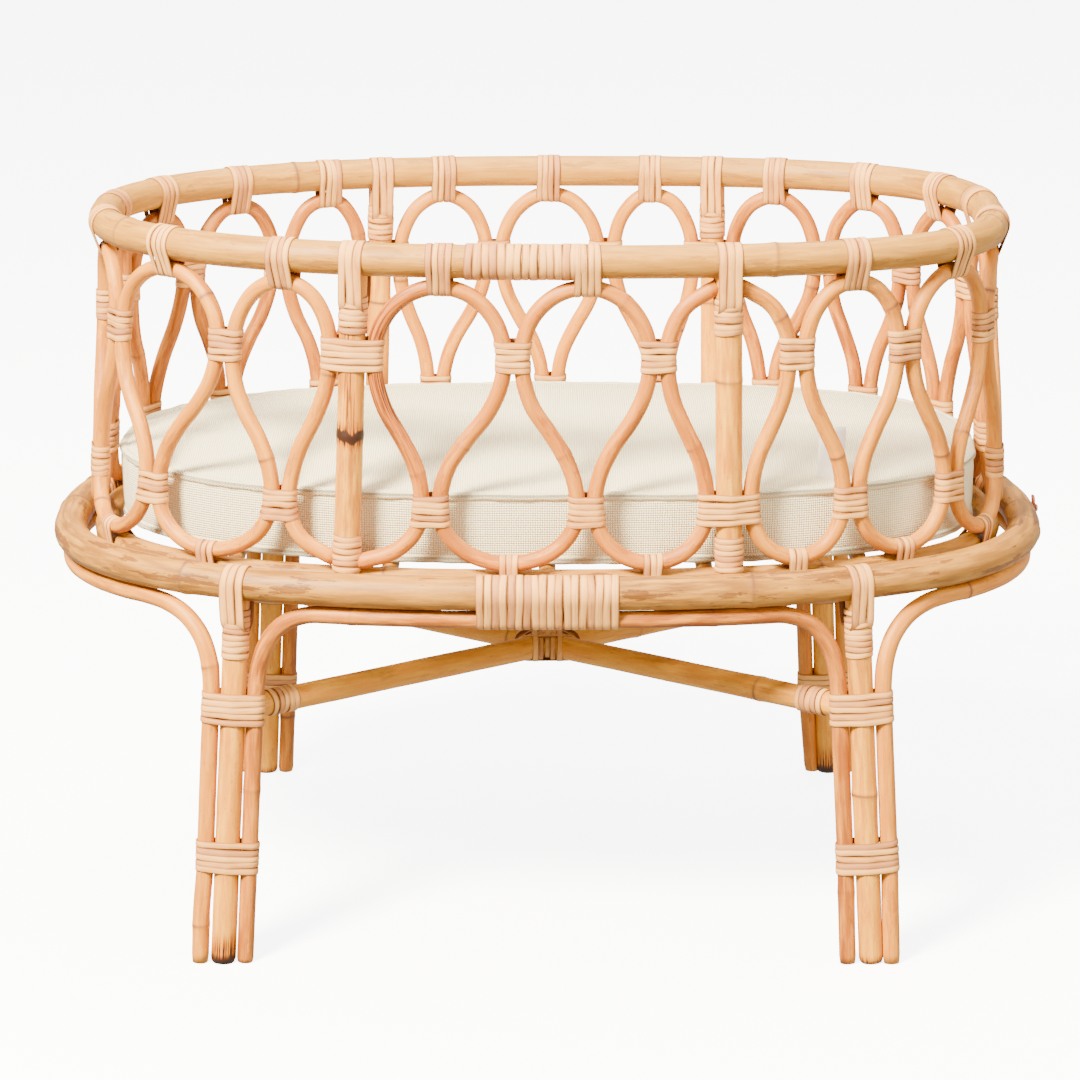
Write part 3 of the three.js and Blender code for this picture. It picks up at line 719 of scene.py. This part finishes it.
def make_braces():
    for name, path in brace_paths.items():
        material = PINK if name in PINK_BRACES else TAN
        piece = cane(f"bent_brace_{name}", path, BRACE_RADIUS, material)
        show(piece, "frame", "pink_cane", f"brace_{name}")


def foot_scorch(depth, strength):
    """Burning that fades out up the leg from the floor."""

    def scorch(point, spots):
        return strength * np.clip(1 - spots[:, 2] / depth, 0, 1) ** 1.5

    return scorch


def make_straight_canes():
    for corner in CORNERS:
        burnt_foot = corner in ("front_left", "back_right")
        scorch = foot_scorch(22 * MM, 1.5) if burnt_foot else foot_scorch(6 * MM, 1.0)
        leg = cane(f"round_leg_{corner}", leg_paths[corner], LEG_RADIUS, STRAW, scorch=scorch)
        show(leg, "frame", "straw_cane", f"leg_{corner}")
        path = post_paths[corner]
        knots, marked, sides = None, None, 18
        if corner == "front_left":
            knots = path.crossings(high("mattress")[2] + 31 * MM)
            marked, sides = ring_burn(path.at(knots[0])), 48
        name = f"round_post_{corner}"
        post = cane(name, path, POST_RADIUS, STRAW, sides=sides, knots=knots, scorch=marked)
        show(post, "frame", "straw_cane", f"post_{corner}")
    for side, path in cross_paths.items():
        pole = cane(f"round_cross_pole_{side}", path, CROSS_RADIUS, STRAW, facing=upright)
        show(pole, "frame", "straw_cane", f"cross_pole_{side}")
    slats = sorted(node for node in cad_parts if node.startswith("slat_"))
    for node in slats:
        centre = middle(node)
        start = np.array([centre[0], low(node)[1], centre[2]])
        end = np.array([centre[0], high(node)[1], centre[2]])
        slat = cane(f"round_{node}", straight_path(start, end), SLAT_RADIUS, HONEY, facing=upright)
        show(slat, "frame", "honey_cane", node)


# ---- Strips of peeled cane -----------------------------------------------------------------------
STRIP_COVER = 1.07
STRIP_THICKNESS = 0.62 * MM
STRIP_SECTION = np.array(
    [(-0.5, -0.1), (-0.5, 0.45), (-0.38, 0.9), (0.0, 1.0), (0.38, 0.9), (0.5, 0.45), (0.5, -0.1)]
)
LOOP_POINTS = 40


def hull(points):
    """The convex outline of flat points, anticlockwise."""
    ordered = sorted(map(tuple, points))
    halves = []
    for run in (ordered, ordered[::-1]):
        kept = []
        for p in run:
            while len(kept) > 1 and (
                (kept[-1][0] - kept[-2][0]) * (p[1] - kept[-2][1])
                - (kept[-1][1] - kept[-2][1]) * (p[0] - kept[-2][0])
            ) <= 1e-12:
                kept.pop()
            kept.append(p)
        halves += kept[:-1]
    return np.array(halves)


def loop_round(discs, lift):
    """A taut loop round flat discs (x, y, radius): evenly spaced points and outward directions."""
    angles = 2 * math.pi * np.arange(32) / 32
    rim = [
        (x + (r + lift) * math.cos(a), y + (r + lift) * math.sin(a)) for x, y, r in discs for a in angles
    ]
    outline = hull(rim)
    closed = np.vstack([outline, outline[:1]])
    lengths = np.concatenate([[0], np.cumsum(np.linalg.norm(np.diff(closed, axis=0), axis=1))])
    places = lengths[-1] * np.arange(LOOP_POINTS) / LOOP_POINTS
    spots = np.stack([np.interp(places, lengths, closed[:, i]) for i in (0, 1)], -1)
    chord = np.roll(spots, -1, 0) - np.roll(spots, 1, 0)
    normals = np.stack([chord[:, 1], -chord[:, 0]], -1)
    normals /= np.linalg.norm(normals, axis=1)[:, None]
    return spots, normals, places


def turn_of_strip(build, rng, width, origin, across, over, discs, tilt=0.35 * MM):
    """One turn of strip in the plane of `across` and `over`, round discs in that plane."""
    axis = np.cross(across, over)
    spots, normals, places = loop_round(discs, rng.uniform(0.02, 0.18) * MM)
    phase, tone, slip = rng.uniform(0, 2 * math.pi), rng.uniform(0, 1), rng.uniform(0, 9, 3)
    wide = width * rng.uniform(0.92, 1.06)
    thick = STRIP_THICKNESS * rng.uniform(0.8, 1.2)
    rings = []
    for k, (spot, normal, place) in enumerate(zip(spots, normals, places, strict=True)):
        turn = 2 * math.pi * k / LOOP_POINTS
        shift = tilt * math.sin(turn + phase) + 0.12 * MM * math.sin(3 * turn + 2 * phase)
        narrow = 1 + 0.06 * math.sin(2 * turn + 3 * phase)
        centre = origin + spot[0] * across + spot[1] * over + shift * axis
        out = normal[0] * across + normal[1] * over
        points = [centre + x * wide * narrow * axis + z * thick * out for x, z in STRIP_SECTION]
        grain = [(place + slip[0], x * wide + slip[1], slip[2]) for x, z in STRIP_SECTION]
        # the first mark is painted shade, strongest at the strip's edges where neighbouring turns meet
        marks = [(min(1.0, abs(x) * 2), 0.0, tone) for x, z in STRIP_SECTION]
        rings.append(build.row(points, grain, marks))
    for k, ring in enumerate(rings):
        build.skin(ring, rings[(k + 1) % LOOP_POINTS], len(STRIP_SECTION))


def wrap(name, nodes, count, pitch, section):
    """Turns of strip side by side. section(offset) gives origin, across, over and discs of a turn."""
    rng = seed_of(name)
    build = Build()
    for k in range(count):
        offset = (k - (count - 1) / 2) * pitch + rng.uniform(-0.12, 0.12) * MM
        turn_of_strip(build, rng, pitch * STRIP_COVER, *section(offset))
    show(build.object(name, STRIP), "frame", "peeled_strip", *nodes)


def axis_section(path, s, discs):
    """A plane square to a path at a distance along it, with discs placed outward and up of it."""

    def section(offset):
        along = path.direction(s + offset)
        out = outward(path.at(s))
        out = unit(out - along * np.dot(out, along))
        over = np.cross(along, out)
        over = over if over[2] > 0 or abs(over[2]) < 0.5 else -over
        return path.at(s + offset), out, over, discs

    return section


def hoop_section(path, s, radius, lower, lower_radius):
    """Across a hoop at a distance along it: the hoop, and a cane at a point beside it."""

    def section(offset):
        along = path.direction(s + offset)
        out = unit(np.cross(along, UP))
        origin = path.at(s + offset)
        rel = lower - path.at(s)
        discs = [(0.0, 0.0, radius), (np.dot(rel, out), rel[2], lower_radius)]
        return origin, out, UP, discs

    return section


NECK_TURNS = 5
NECK_PITCH = 3.3 * MM
TOUCHING = 24.5 * MM


def necks(height):
    """Where strands meet at a height: groups of (path, radius), each with its middle point."""
    spots = [
        (path, path.at(s)) for path in strand_paths.values() for s in path.crossings(height)
    ]
    spots.sort(key=lambda item: math.atan2(item[1][1], item[1][0]))
    groups = []
    for i, (path, spot) in enumerate(spots):
        following, next_spot = spots[(i + 1) % len(spots)]
        if np.linalg.norm(next_spot - spot) < TOUCHING:
            between = (spot + next_spot) / 2
            canes = [(path, spot), (following, next_spot)]
            for post in post_paths.values():
                at = post.at(post.crossings(height))[0]
                if np.linalg.norm(at - between) < TOUCHING / 2:
                    canes.append((post, at))
            groups.append((canes, between))
    return groups


def neck_section(canes, between, height):
    """Level discs at a neck. Each cane keeps to its own side, as it is followed from the neck."""
    out = outward(between)
    across = np.cross(out, UP)

    def section(offset):
        z = height + offset
        origin = np.array([between[0], between[1], z])
        discs = []
        for path, spot in canes:
            found = path.at(path.crossings(z))
            rel = found[int(np.argmin(np.linalg.norm(found - spot, axis=1)))] - origin
            radius = POST_RADIUS if path in post_paths.values() else STRAND_RADIUS
            discs.append((np.dot(rel, across), np.dot(rel, out), radius))
        return origin, across, out, discs

    return section


UPPER_NECK = low("rim_hoop")[2] - 40.3 * MM
LOWER_NECK = middle("base_hoop")[2] + 40 * MM


def make_neck_bindings():
    for level, height in (("upper", UPPER_NECK), ("lower", LOWER_NECK)):
        for i, (canes, between) in enumerate(necks(height)):
            section = neck_section(canes, between, height)
            wrap(f"binding_{level}_neck_{i + 1:02d}", (), NECK_TURNS, NECK_PITCH, section)


def make_arch_and_loop_bindings():
    arch = loop = 0
    for path in strand_paths.values():
        for s in path.turns(1):
            spot = path.at(s)
            arch += 1
            place = rim_path.nearest(spot)
            section = hoop_section(rim_path, place, RIM_RADIUS, spot, STRAND_RADIUS)
            wrap(f"binding_arch_{arch:02d}", (), 4, NECK_PITCH, section)
        for s in path.turns(-1):
            spot = path.at(s)
            loop += 1
            place = base_path.nearest(spot)
            section = hoop_section(base_path, place, BASE_RADIUS, spot, STRAND_RADIUS)
            wrap(f"binding_loop_{loop:02d}", (), 3, NECK_PITCH, section)


def pole_section(path, s, radius, beside=()):
    """Square to a pole: its own disc, and those of canes beside it (their paths and radii)."""
    along = path.direction(s)
    out = outward(path.at(s))
    out = unit(out - along * np.dot(out, along))
    across = unit(np.cross(out, along))

    def section(offset):
        origin = path.at(s + offset)
        discs = [(0.0, 0.0, radius)]
        for other, other_radius in beside:
            found = other.at(other.crossings(origin[2]))
            rel = found[int(np.argmin(np.linalg.norm(found - origin, axis=1)))] - origin
            discs.append((np.dot(rel, across), np.dot(rel, out), other_radius))
        return origin, across, out, discs

    return section


def saddle(name, hoop, radius, pole, pole_radius, drop):
    """Strips that go over a hoop and down both faces of the pole under it."""
    top = pole.at(pole.length)
    place = hoop.nearest(top)
    lower = pole.at(pole.length - drop)
    section = hoop_section(hoop, place, radius, lower, pole_radius + 0.5 * MM)
    wrap(name, (), 3, 4.1 * MM, section)


BRACES_OF = {
    "front_left": ("front", "left"),
    "front_right": ("front", "right"),
    "back_right": ("back", "right"),
    "back_left": ("back", "left"),
}


def make_leg_wraps():
    for corner in CORNERS:
        path = leg_paths[corner]
        saddle(f"strips_over_hoop_{corner}", stand_path, STAND_RADIUS, path, LEG_RADIUS, 14 * MM)
        node = f"wrap_leg_top_{corner}"
        s = path.nearest(middle(node))
        wrap(f"strips_leg_top_{corner}", [node], 8, 3.25 * MM, pole_section(path, s, LEG_RADIUS))
        beside = [(brace_paths[name], BRACE_RADIUS) for name in BRACES_OF[corner]]
        for level in ("upper", "lower"):
            node = f"wrap_leg_{level}_{corner}"
            s = path.nearest(middle(node))
            section = pole_section(path, s, LEG_RADIUS, beside)
            wrap(f"strips_leg_{level}_{corner}", [node], 5, 3.4 * MM, section)


def make_post_wraps():
    for corner in CORNERS:
        path = post_paths[corner]
        saddle(f"strips_over_rim_{corner}", rim_path, RIM_RADIUS, path, POST_RADIUS, 16 * MM)
        node = f"wrap_post_{corner}"
        s = path.nearest(middle(node))
        wrap(f"strips_post_top_{corner}", [node], 6, 3.2 * MM, pole_section(path, s, POST_RADIUS))
        foot = path.crossings(high("base_hoop")[2] + 9 * MM)[0]
        wrap(f"strips_post_foot_{corner}", (), 6, 3.2 * MM, pole_section(path, foot, POST_RADIUS))


def make_hoop_wraps():
    s = rim_path.nearest(middle("wrap_rim_splice"))
    discs = [(0.0, 0.0, RIM_RADIUS)]
    count = round((high("wrap_rim_splice")[0] - low("wrap_rim_splice")[0] + 20 * MM) / (4 * MM))
    wrap("strips_rim_splice", ["wrap_rim_splice"], count, 4.1 * MM, axis_section(rim_path, s, discs))
    brace_drop = np.array([0.0, 0.0, -(STAND_RADIUS + BRACE_RADIUS + 0.4 * MM)])
    for node, turns, pitch in (
        ("wrap_hoop_splice", 18, 4.1 * MM),
        ("wrap_hoop_left", 8, 3.3 * MM),
        ("wrap_hoop_right", 8, 3.3 * MM),
    ):
        s = stand_path.nearest(middle(node) + np.array([0.0, 0.0, STAND_RADIUS / 2]))
        lower = stand_path.at(s) + brace_drop
        section = hoop_section(stand_path, s, STAND_RADIUS, lower, BRACE_RADIUS)
        wrap(node.replace("wrap", "strips"), [node], turns, pitch, section)


def make_cross_wraps():
    corners_of = {"left": ("front_left", "back_right"), "right": ("front_right", "back_left")}
    for side, path in cross_paths.items():
        for corner in corners_of[side]:
            node = f"wrap_cross_{corner}"
            s = path.nearest(middle(node))
            discs = [(0.0, 0.0, CROSS_RADIUS)]
            wrap(f"strips_cross_{corner}", [node], 5, 3.4 * MM, axis_section(path, s, discs))
    centre = middle("lashing_cross_middle")
    left, right = (cross_paths[side].direction(0.1) for side in ("left", "right"))

    def section_square_to(axis, over):
        """Slices across both poles, side by side along an axis."""
        across = np.cross(over, axis)

        def section(offset):
            discs = []
            for along in (left, right):
                reach = np.dot(along, axis)
                line = np.dot(along, across) * offset / reach
                stretch = CROSS_RADIUS * (1 / abs(reach) - 1)
                discs += [(line + shift, 0.0, CROSS_RADIUS) for shift in (-stretch, stretch)]
            return centre + offset * axis, across, over, discs

        return section

    x_axis, y_axis = np.array([1.0, 0.0, 0.0]), np.array([0.0, 1.0, 0.0])
    wrap("strips_lashing_across", ["lashing_cross_middle"], 5, 3.4 * MM, section_square_to(x_axis, UP))
    wrap("strips_lashing_along", (), 5, 3.4 * MM, section_square_to(y_axis, UP))


# ---- The mattress --------------------------------------------------------------------------------
MATTRESS_EDGE = 5 * MM
VOXEL = 5 * MM
MOST_SWELL = 5.5 * MM
CROWN = 11 * MM
MATTRESS_ROUNDNESS = (2.4, 2.75)
LOOSE_FIT = np.array([7.0, 3.5, 0.0]) * MM


def mattress_outline(inset, height, count=240):
    reach = (high("mattress") - low("mattress")) / 2 + LOOSE_FIT
    points = oval(reach[0] - inset, reach[1] - inset, height, MATTRESS_ROUNDNESS)
    dense = Path(points, closed=True)
    return dense.at(np.arange(count) / count * dense.length)


def mattress_body():
    """A closed oval box with rounded edges and a crowned top, before it swells."""
    bottom, top = low("mattress")[2], high("mattress")[2]
    reach = (high("mattress") - low("mattress"))[1] / 2
    rows = [(reach * share, bottom + 0.4 * MM) for share in (0.9, 0.7, 0.5, 0.3, 0.15)]
    rows += [(2.2 * MM, bottom + 0.6 * MM), (0.2 * MM, bottom + 2.5 * MM)]
    rows += [(0.0, bottom + (top - bottom) * share) for share in (0.25, 0.5, 0.75)]
    rows += [(0.2 * MM, top - 3.2 * MM), (2.2 * MM, top - 1.2 * MM)]
    for share in (0.1, 0.2, 0.35, 0.5, 0.7, 0.9):
        rows.append((reach * share, top - 1.2 * MM + CROWN * math.sin(share * math.pi / 2)))
    build = Build()
    count = 240
    rings = []
    for inset, height in rows:
        points = mattress_outline(inset, height, count)
        rings.append(build.row(points, np.zeros((count, 3)), np.zeros((count, 3))))
    for first, second in zip(rings[:-1], rings[1:], strict=True):
        build.skin(first, second, count)
    for ring, flip in ((rings[0], True), (rings[-1], False)):
        centre = np.mean(build.points[ring : ring + count], axis=0)
        spot = build.row([centre], [np.zeros(3)], [np.zeros(3)])
        build.fan(ring, count, spot, flip)
    return build.object("mattress_cushion", CANVAS)


def apply_modifiers(piece):
    bpy.context.view_layer.objects.active = piece
    for modifier in list(piece.modifiers):
        bpy.ops.object.modifier_apply(modifier=modifier.name)


def swell(piece):
    """Remeshes the cushion, fills it like a bag held at its seams, and limits how far it moves."""
    remesh = piece.modifiers.new("remesh", "REMESH")
    remesh.mode = "VOXEL"
    remesh.voxel_size = VOXEL
    apply_modifiers(piece)
    bottom, top = low("mattress")[2], high("mattress")[2]
    rest = np.array([v.co for v in piece.data.vertices])
    seams = [mattress_outline(0.8 * MM, z) for z in (bottom + 1.2 * MM, top - 1.8 * MM)]
    seam_points = np.vstack(seams)
    pinned = piece.vertex_groups.new(name="seams")
    for i, point in enumerate(rest):
        gap = np.linalg.norm(seam_points - point, axis=1).min()
        flat = point[2] < bottom + 1.5 * MM
        pinned.add([i], 1.0 if gap < 3.2 * MM or flat else 0.0, "REPLACE")
    cloth = piece.modifiers.new("cloth", "CLOTH")
    cloth.settings.vertex_group_mass = "seams"
    cloth.settings.quality = 6
    cloth.settings.mass = 0.25
    cloth.settings.tension_stiffness = 12
    cloth.settings.compression_stiffness = 12
    cloth.settings.bending_stiffness = 1.2
    cloth.settings.use_pressure = True
    cloth.settings.uniform_pressure_force = 4.0
    cloth.settings.effector_weights.gravity = 0.0
    cloth.collision_settings.use_collision = False
    last_frame = 20
    for step in range(1, last_frame + 1):
        bpy.context.scene.frame_set(step)
    apply_modifiers(piece)
    bpy.context.scene.frame_set(1)
    moved = np.array([v.co for v in piece.data.vertices]) - rest
    reach = np.linalg.norm(moved, axis=1)
    moved *= (np.minimum(reach, MOST_SWELL) / np.maximum(reach, 1e-9))[:, None]
    points = rest + moved
    points[:, 2] = np.maximum(points[:, 2], bottom)
    piece.data.vertices.foreach_set("co", points.astype(np.float32).ravel())


PUCKER = 0.004


def crease(piece):
    """Soft hollows and ripples that a lightly filled canvas cover settles into."""
    top = high("mattress")[2]
    rng = seed_of("mattress creases")
    hollows = [
        (rng.uniform(-0.19, 0.19), rng.uniform(-0.085, 0.085), rng.uniform(0, math.pi))
        for _ in range(9)
    ]
    for vert in piece.data.vertices:
        x, y, z = vert.co
        around = math.atan2(y * 2, x)
        pucker = math.sin(26 * around + 3 * math.sin(7 * around)) * PUCKER
        vert.co.xy *= 1 + pucker * math.exp(-(((z - top + 7 * MM) / (9 * MM)) ** 2))
        share = min(1.0, max(0.0, (z - top + 3 * MM) / (5 * MM)))
        if share == 0.0:
            continue
        sink = 0.0
        for cx, cy, turn in hollows:
            u = (x - cx) * math.cos(turn) + (y - cy) * math.sin(turn)
            v = (y - cy) * math.cos(turn) - (x - cx) * math.sin(turn)
            sink += math.exp(-((u / 0.06) ** 2) - (v / 0.026) ** 2)
        sink += 0.35 * math.sin(x * 62 + 3 * math.sin(y * 40)) * math.sin(y * 55 + x * 20)
        wave = math.sin(9 * around + 2 * math.sin(4 * around))
        vert.co.z = z + share * (0.5 * wave - 1.3 * sink) * MM


def cloth_coordinates(piece):
    """Marks each face corner with its place on the cloth: in plan on top, and unrolled at the sides."""
    outline = Path(mattress_outline(0.0, 0.0), closed=True)
    mesh = piece.data
    rounds = np.array([outline.nearest(np.array([v.co.x, v.co.y, 0.0])) for v in mesh.vertices])
    layer = mesh.attributes.new("cloth", "FLOAT_VECTOR", "CORNER")
    for face in mesh.polygons:
        level = abs(face.normal.z) > 0.62
        around = [rounds[v] for v in face.vertices]
        seam = max(around) - min(around) > outline.length / 2
        for corner in face.loop_indices:
            index = mesh.loops[corner].vertex_index
            place = mesh.vertices[index].co
            if level:
                layer.data[corner].vector = (place.x, place.y, 0.0)
            else:
                along = rounds[index]
                if seam and along < outline.length / 2:
                    along += outline.length
                layer.data[corner].vector = (along, place.z, 0.0)


PIPING_RADIUS = 2.5 * MM


def piping(name, surface, z, lift):
    """A covered cord sewn round an edge of the cushion."""
    outline = mattress_outline(0.0, z, 480)
    points = []
    for spot in outline:
        out = outward(spot)
        aim = Vector(unit(-out - UP * lift))
        start = Vector(spot) - aim * 0.03
        hit = surface.ray_cast(start, aim)[0]
        points.append(np.array(hit) if hit is not None else spot)
    points = np.array(points)
    for _ in range(6):
        points = (np.roll(points, 1, 0) + points * 2 + np.roll(points, -1, 0)) / 4
    path = Path(points[::2], closed=True)
    sides = 12
    angles = 2 * math.pi * np.arange(sides) / sides
    build = Build()
    rings, cloth = [], []
    stations = np.arange(0.0, path.length - RING_STEP / 2, RING_STEP)
    for s in stations:
        point, along = path.at(s), path.direction(s)
        side = unit(outward(point) - along * np.dot(outward(point), along))
        other = np.cross(along, side)
        pucker = 1 + 0.05 * math.sin(s / (2.3 * MM)) + 0.03 * math.sin(s / (5.1 * MM))
        ring = [
            point + PIPING_RADIUS * pucker * (math.cos(a) * side + math.sin(a) * other) for a in angles
        ]
        rings.append(build.row(ring, np.zeros((sides, 3)), np.zeros((sides, 3))))
        cloth += [(s * 0.7 + a * PIPING_RADIUS, s * 0.7 - a * PIPING_RADIUS, 0.0) for a in angles]
    for k, ring in enumerate(rings):
        build.skin(ring, rings[(k + 1) % len(rings)], sides)
    piece = build.object(name, CANVAS)
    layer = piece.data.attributes.new("cloth", "FLOAT_VECTOR", "POINT")
    layer.data.foreach_set("vector", np.array(cloth, np.float32).ravel())
    return show(piece, "mattress", "canvas")


def make_mattress():
    piece = mattress_body()
    swell(piece)
    crease(piece)
    smooth = piece.modifiers.new("smooth", "SUBSURF")
    smooth.levels = smooth.render_levels = 1
    apply_modifiers(piece)
    piece.data.shade_smooth()
    cloth_coordinates(piece)
    show(piece, "mattress", "canvas", "mattress")
    surface = BVHTree.FromObject(piece, bpy.context.evaluated_depsgraph_get())
    top, bottom = high("mattress")[2], low("mattress")[2]
    piping("mattress_piping_top", surface, top - 2 * MM, 1.0)
    piping("mattress_piping_bottom", surface, bottom + 2.4 * MM, 0.0)


# ---- Label, tag and pin --------------------------------------------------------------------------


def ribbon(name, rows, thickness, material):
    """A flat strip of cloth through rows of (left, right) points, with a little thickness."""
    work = bmesh.new()
    layers = []
    for left, right in rows:
        layers.append([work.verts.new(left + (right - left) * t) for t in np.linspace(0, 1, 9)])
    for first, second in zip(layers[:-1], layers[1:], strict=True):
        for a, b, c, d in zip(first[:-1], first[1:], second[1:], second[:-1], strict=True):
            work.faces.new((a, b, c, d))
    mesh = bpy.data.meshes.new(name)
    work.to_mesh(mesh)
    work.free()
    piece = bpy.data.objects.new(name, mesh)
    bpy.context.scene.collection.objects.link(piece)
    layer = mesh.attributes.new("cloth", "FLOAT_VECTOR", "POINT")
    places = [(v.co.x, v.co.z, v.co.y) for v in mesh.vertices]
    layer.data.foreach_set("vector", np.array(places, np.float32).ravel())
    solid = piece.modifiers.new("thickness", "SOLIDIFY")
    solid.thickness = thickness
    solid.offset = 0.0
    bevel = piece.modifiers.new("soft edges", "BEVEL")
    bevel.width = thickness * 0.25
    apply_modifiers(piece)
    mesh.shade_smooth()
    mesh.materials.append(material)
    return piece


def make_label():
    """A folded ribbon sewn into the top seam: up the front, round the fold and down the back."""
    lowest, highest = low("mattress_label"), high("mattress_label")
    height = highest[2] - lowest[2]
    half = (highest[0] - lowest[0]) / 2
    centre = (lowest + highest) / 2
    rows = []
    for t in np.linspace(0, 1, 25):
        up = 1 - abs(2 * t - 1)
        fold = (0.9 if t < 0.5 else -0.9) * MM * min(1.0, 3 * (1 - up))
        lean = 2.6 * MM * up**2
        z = lowest[2] - 1.5 * MM + (height - 0.5 * MM) * up ** 0.96
        y = centre[1] - fold + lean
        skew = 1.2 * MM * up
        left = np.array([centre[0] - half + skew, y, z])
        right = np.array([centre[0] + half + skew, y + 0.6 * MM * up, z])
        rows.append((left, right))
    show(ribbon("ribbon_label", rows, 0.3 * MM, RIBBON), "mattress", "label_cloth", "mattress_label")


def make_tag():
    """A small rounded leather plate, held by a domed copper pin."""
    lowest, highest = low("tag"), high("tag")
    centre, size = (lowest + highest) / 2, highest - lowest
    work = bmesh.new()
    bmesh.ops.create_grid(work, x_segments=12, y_segments=14, size=0.5)
    corner = 5
    for vert in work.verts:
        u, v = vert.co.x * 2, vert.co.y * 2
        rounded = max(1e-9, (abs(u) ** corner + abs(v) ** corner) ** (1 / corner))
        scale = max(abs(u), abs(v)) / rounded / 2
        curl = 0.5 * MM * (u * u + v * v)
        vert.co = Vector(centre + np.array([-curl, u * scale * size[1], v * scale * size[2]]))
    mesh = bpy.data.meshes.new("leather_tag")
    work.to_mesh(mesh)
    work.free()
    mesh.materials.append(LEATHER)
    tag = bpy.data.objects.new("leather_tag", mesh)
    bpy.context.scene.collection.objects.link(tag)
    solid = tag.modifiers.new("thickness", "SOLIDIFY")
    solid.thickness = size[0]
    solid.offset = 0.0
    bevel = tag.modifiers.new("edges", "BEVEL")
    bevel.width = 0.25 * MM
    bevel.segments = 2
    apply_modifiers(tag)
    mesh.shade_smooth()
    show(tag, "frame", "tag_leather", "tag")

    base, tip = low("tag_pin"), high("tag_pin")
    pin_middle = (base + tip) / 2
    radius = (tip[1] - base[1]) / 2
    build = Build()
    sides = 32
    profile = [(1.0, -0.3), (1.0, 0.25), (0.93, 0.5), (0.75, 0.78), (0.5, 0.95), (0.25, 1.0)]
    rings = []
    for reach, rise in profile:
        x = base[0] + (tip[0] - base[0]) * rise
        points = [
            (
                x,
                pin_middle[1] + radius * reach * math.cos(2 * math.pi * i / sides),
                pin_middle[2] + radius * reach * math.sin(2 * math.pi * i / sides),
            )
            for i in range(sides)
        ]
        rings.append(build.row(points, np.zeros((sides, 3)), np.zeros((sides, 3))))
    for first, second in zip(rings[:-1], rings[1:], strict=True):
        build.skin(first, second, sides)
    sunk = base[0] - 0.3 * (tip[0] - base[0])
    for ring, x, flip in ((rings[0], sunk, True), (rings[-1], tip[0], False)):
        spot = build.row([(x, pin_middle[1], pin_middle[2])], [np.zeros(3)], [np.zeros(3)])
        build.fan(ring, sides, spot, flip)
    show(build.object("domed_pin", COPPER), "frame", "pin_brass", "tag_pin")


# ---- Camera, floor and light ---------------------------------------------------------------------


def make_camera():
    camera = bpy.data.objects.new("camera", bpy.data.cameras.new("camera"))
    bpy.context.scene.collection.objects.link(camera)
    camera.location = (0.0, -1.8818, 0.7244)
    camera.rotation_euler = (math.radians(74.149), 0.0, 0.0)
    camera.data.lens = 116.67
    camera.data.sensor_width = 36.0
    camera.data.shift_x = -0.0067
    camera.data.clip_start = 0.05
    bpy.context.scene.camera = camera


def make_floor():
    work = bmesh.new()
    bmesh.ops.create_grid(work, x_segments=8, y_segments=8, size=40.0)
    mesh = bpy.data.meshes.new("floor")
    work.to_mesh(mesh)
    work.free()
    mesh.materials.append(FLOOR)
    floor = bpy.data.objects.new("floor", mesh)
    bpy.context.scene.collection.objects.link(floor)
    floor.visible_diffuse = False
    floor.visible_glossy = False


def make_light(name, place, aim, size, power, colour=(1.0, 1.0, 1.0)):
    data = bpy.data.lights.new(name, "AREA")
    data.shape = "DISK"
    data.size = size
    data.energy = power
    data.color = colour
    light = bpy.data.objects.new(name, data)
    bpy.context.scene.collection.objects.link(light)
    light.location = place
    light.rotation_euler = (Vector(aim) - Vector(place)).to_track_quat("-Z", "Y").to_euler()


WARM = (1.0, 0.93, 0.79)


def make_lights():
    world = bpy.data.worlds.new("studio")
    world.use_nodes = True
    backdrop = world.node_tree.nodes["Background"]
    backdrop.inputs["Color"].default_value = (1.0, 0.97, 0.92, 1.0)
    backdrop.inputs["Strength"].default_value = 1.0
    bpy.context.scene.world = world
    target = (0.0, 0.0, 0.2)
    make_light("key", (-1.1, -1.4, 2.0), target, 0.7, 430.0, WARM)
    make_light("fill", (1.6, -1.2, 1.2), target, 1.6, 40.0, WARM)
    make_light("top", (0.2, 0.6, 2.2), target, 1.4, 60.0)


make_camera()
make_floor()
make_lights()
make_hoops()
make_strands()
make_braces()
make_straight_canes()
make_neck_bindings()
make_arch_and_loop_bindings()
make_leg_wraps()
make_post_wraps()
make_hoop_wraps()
make_cross_wraps()
make_mattress()
make_label()
make_tag()
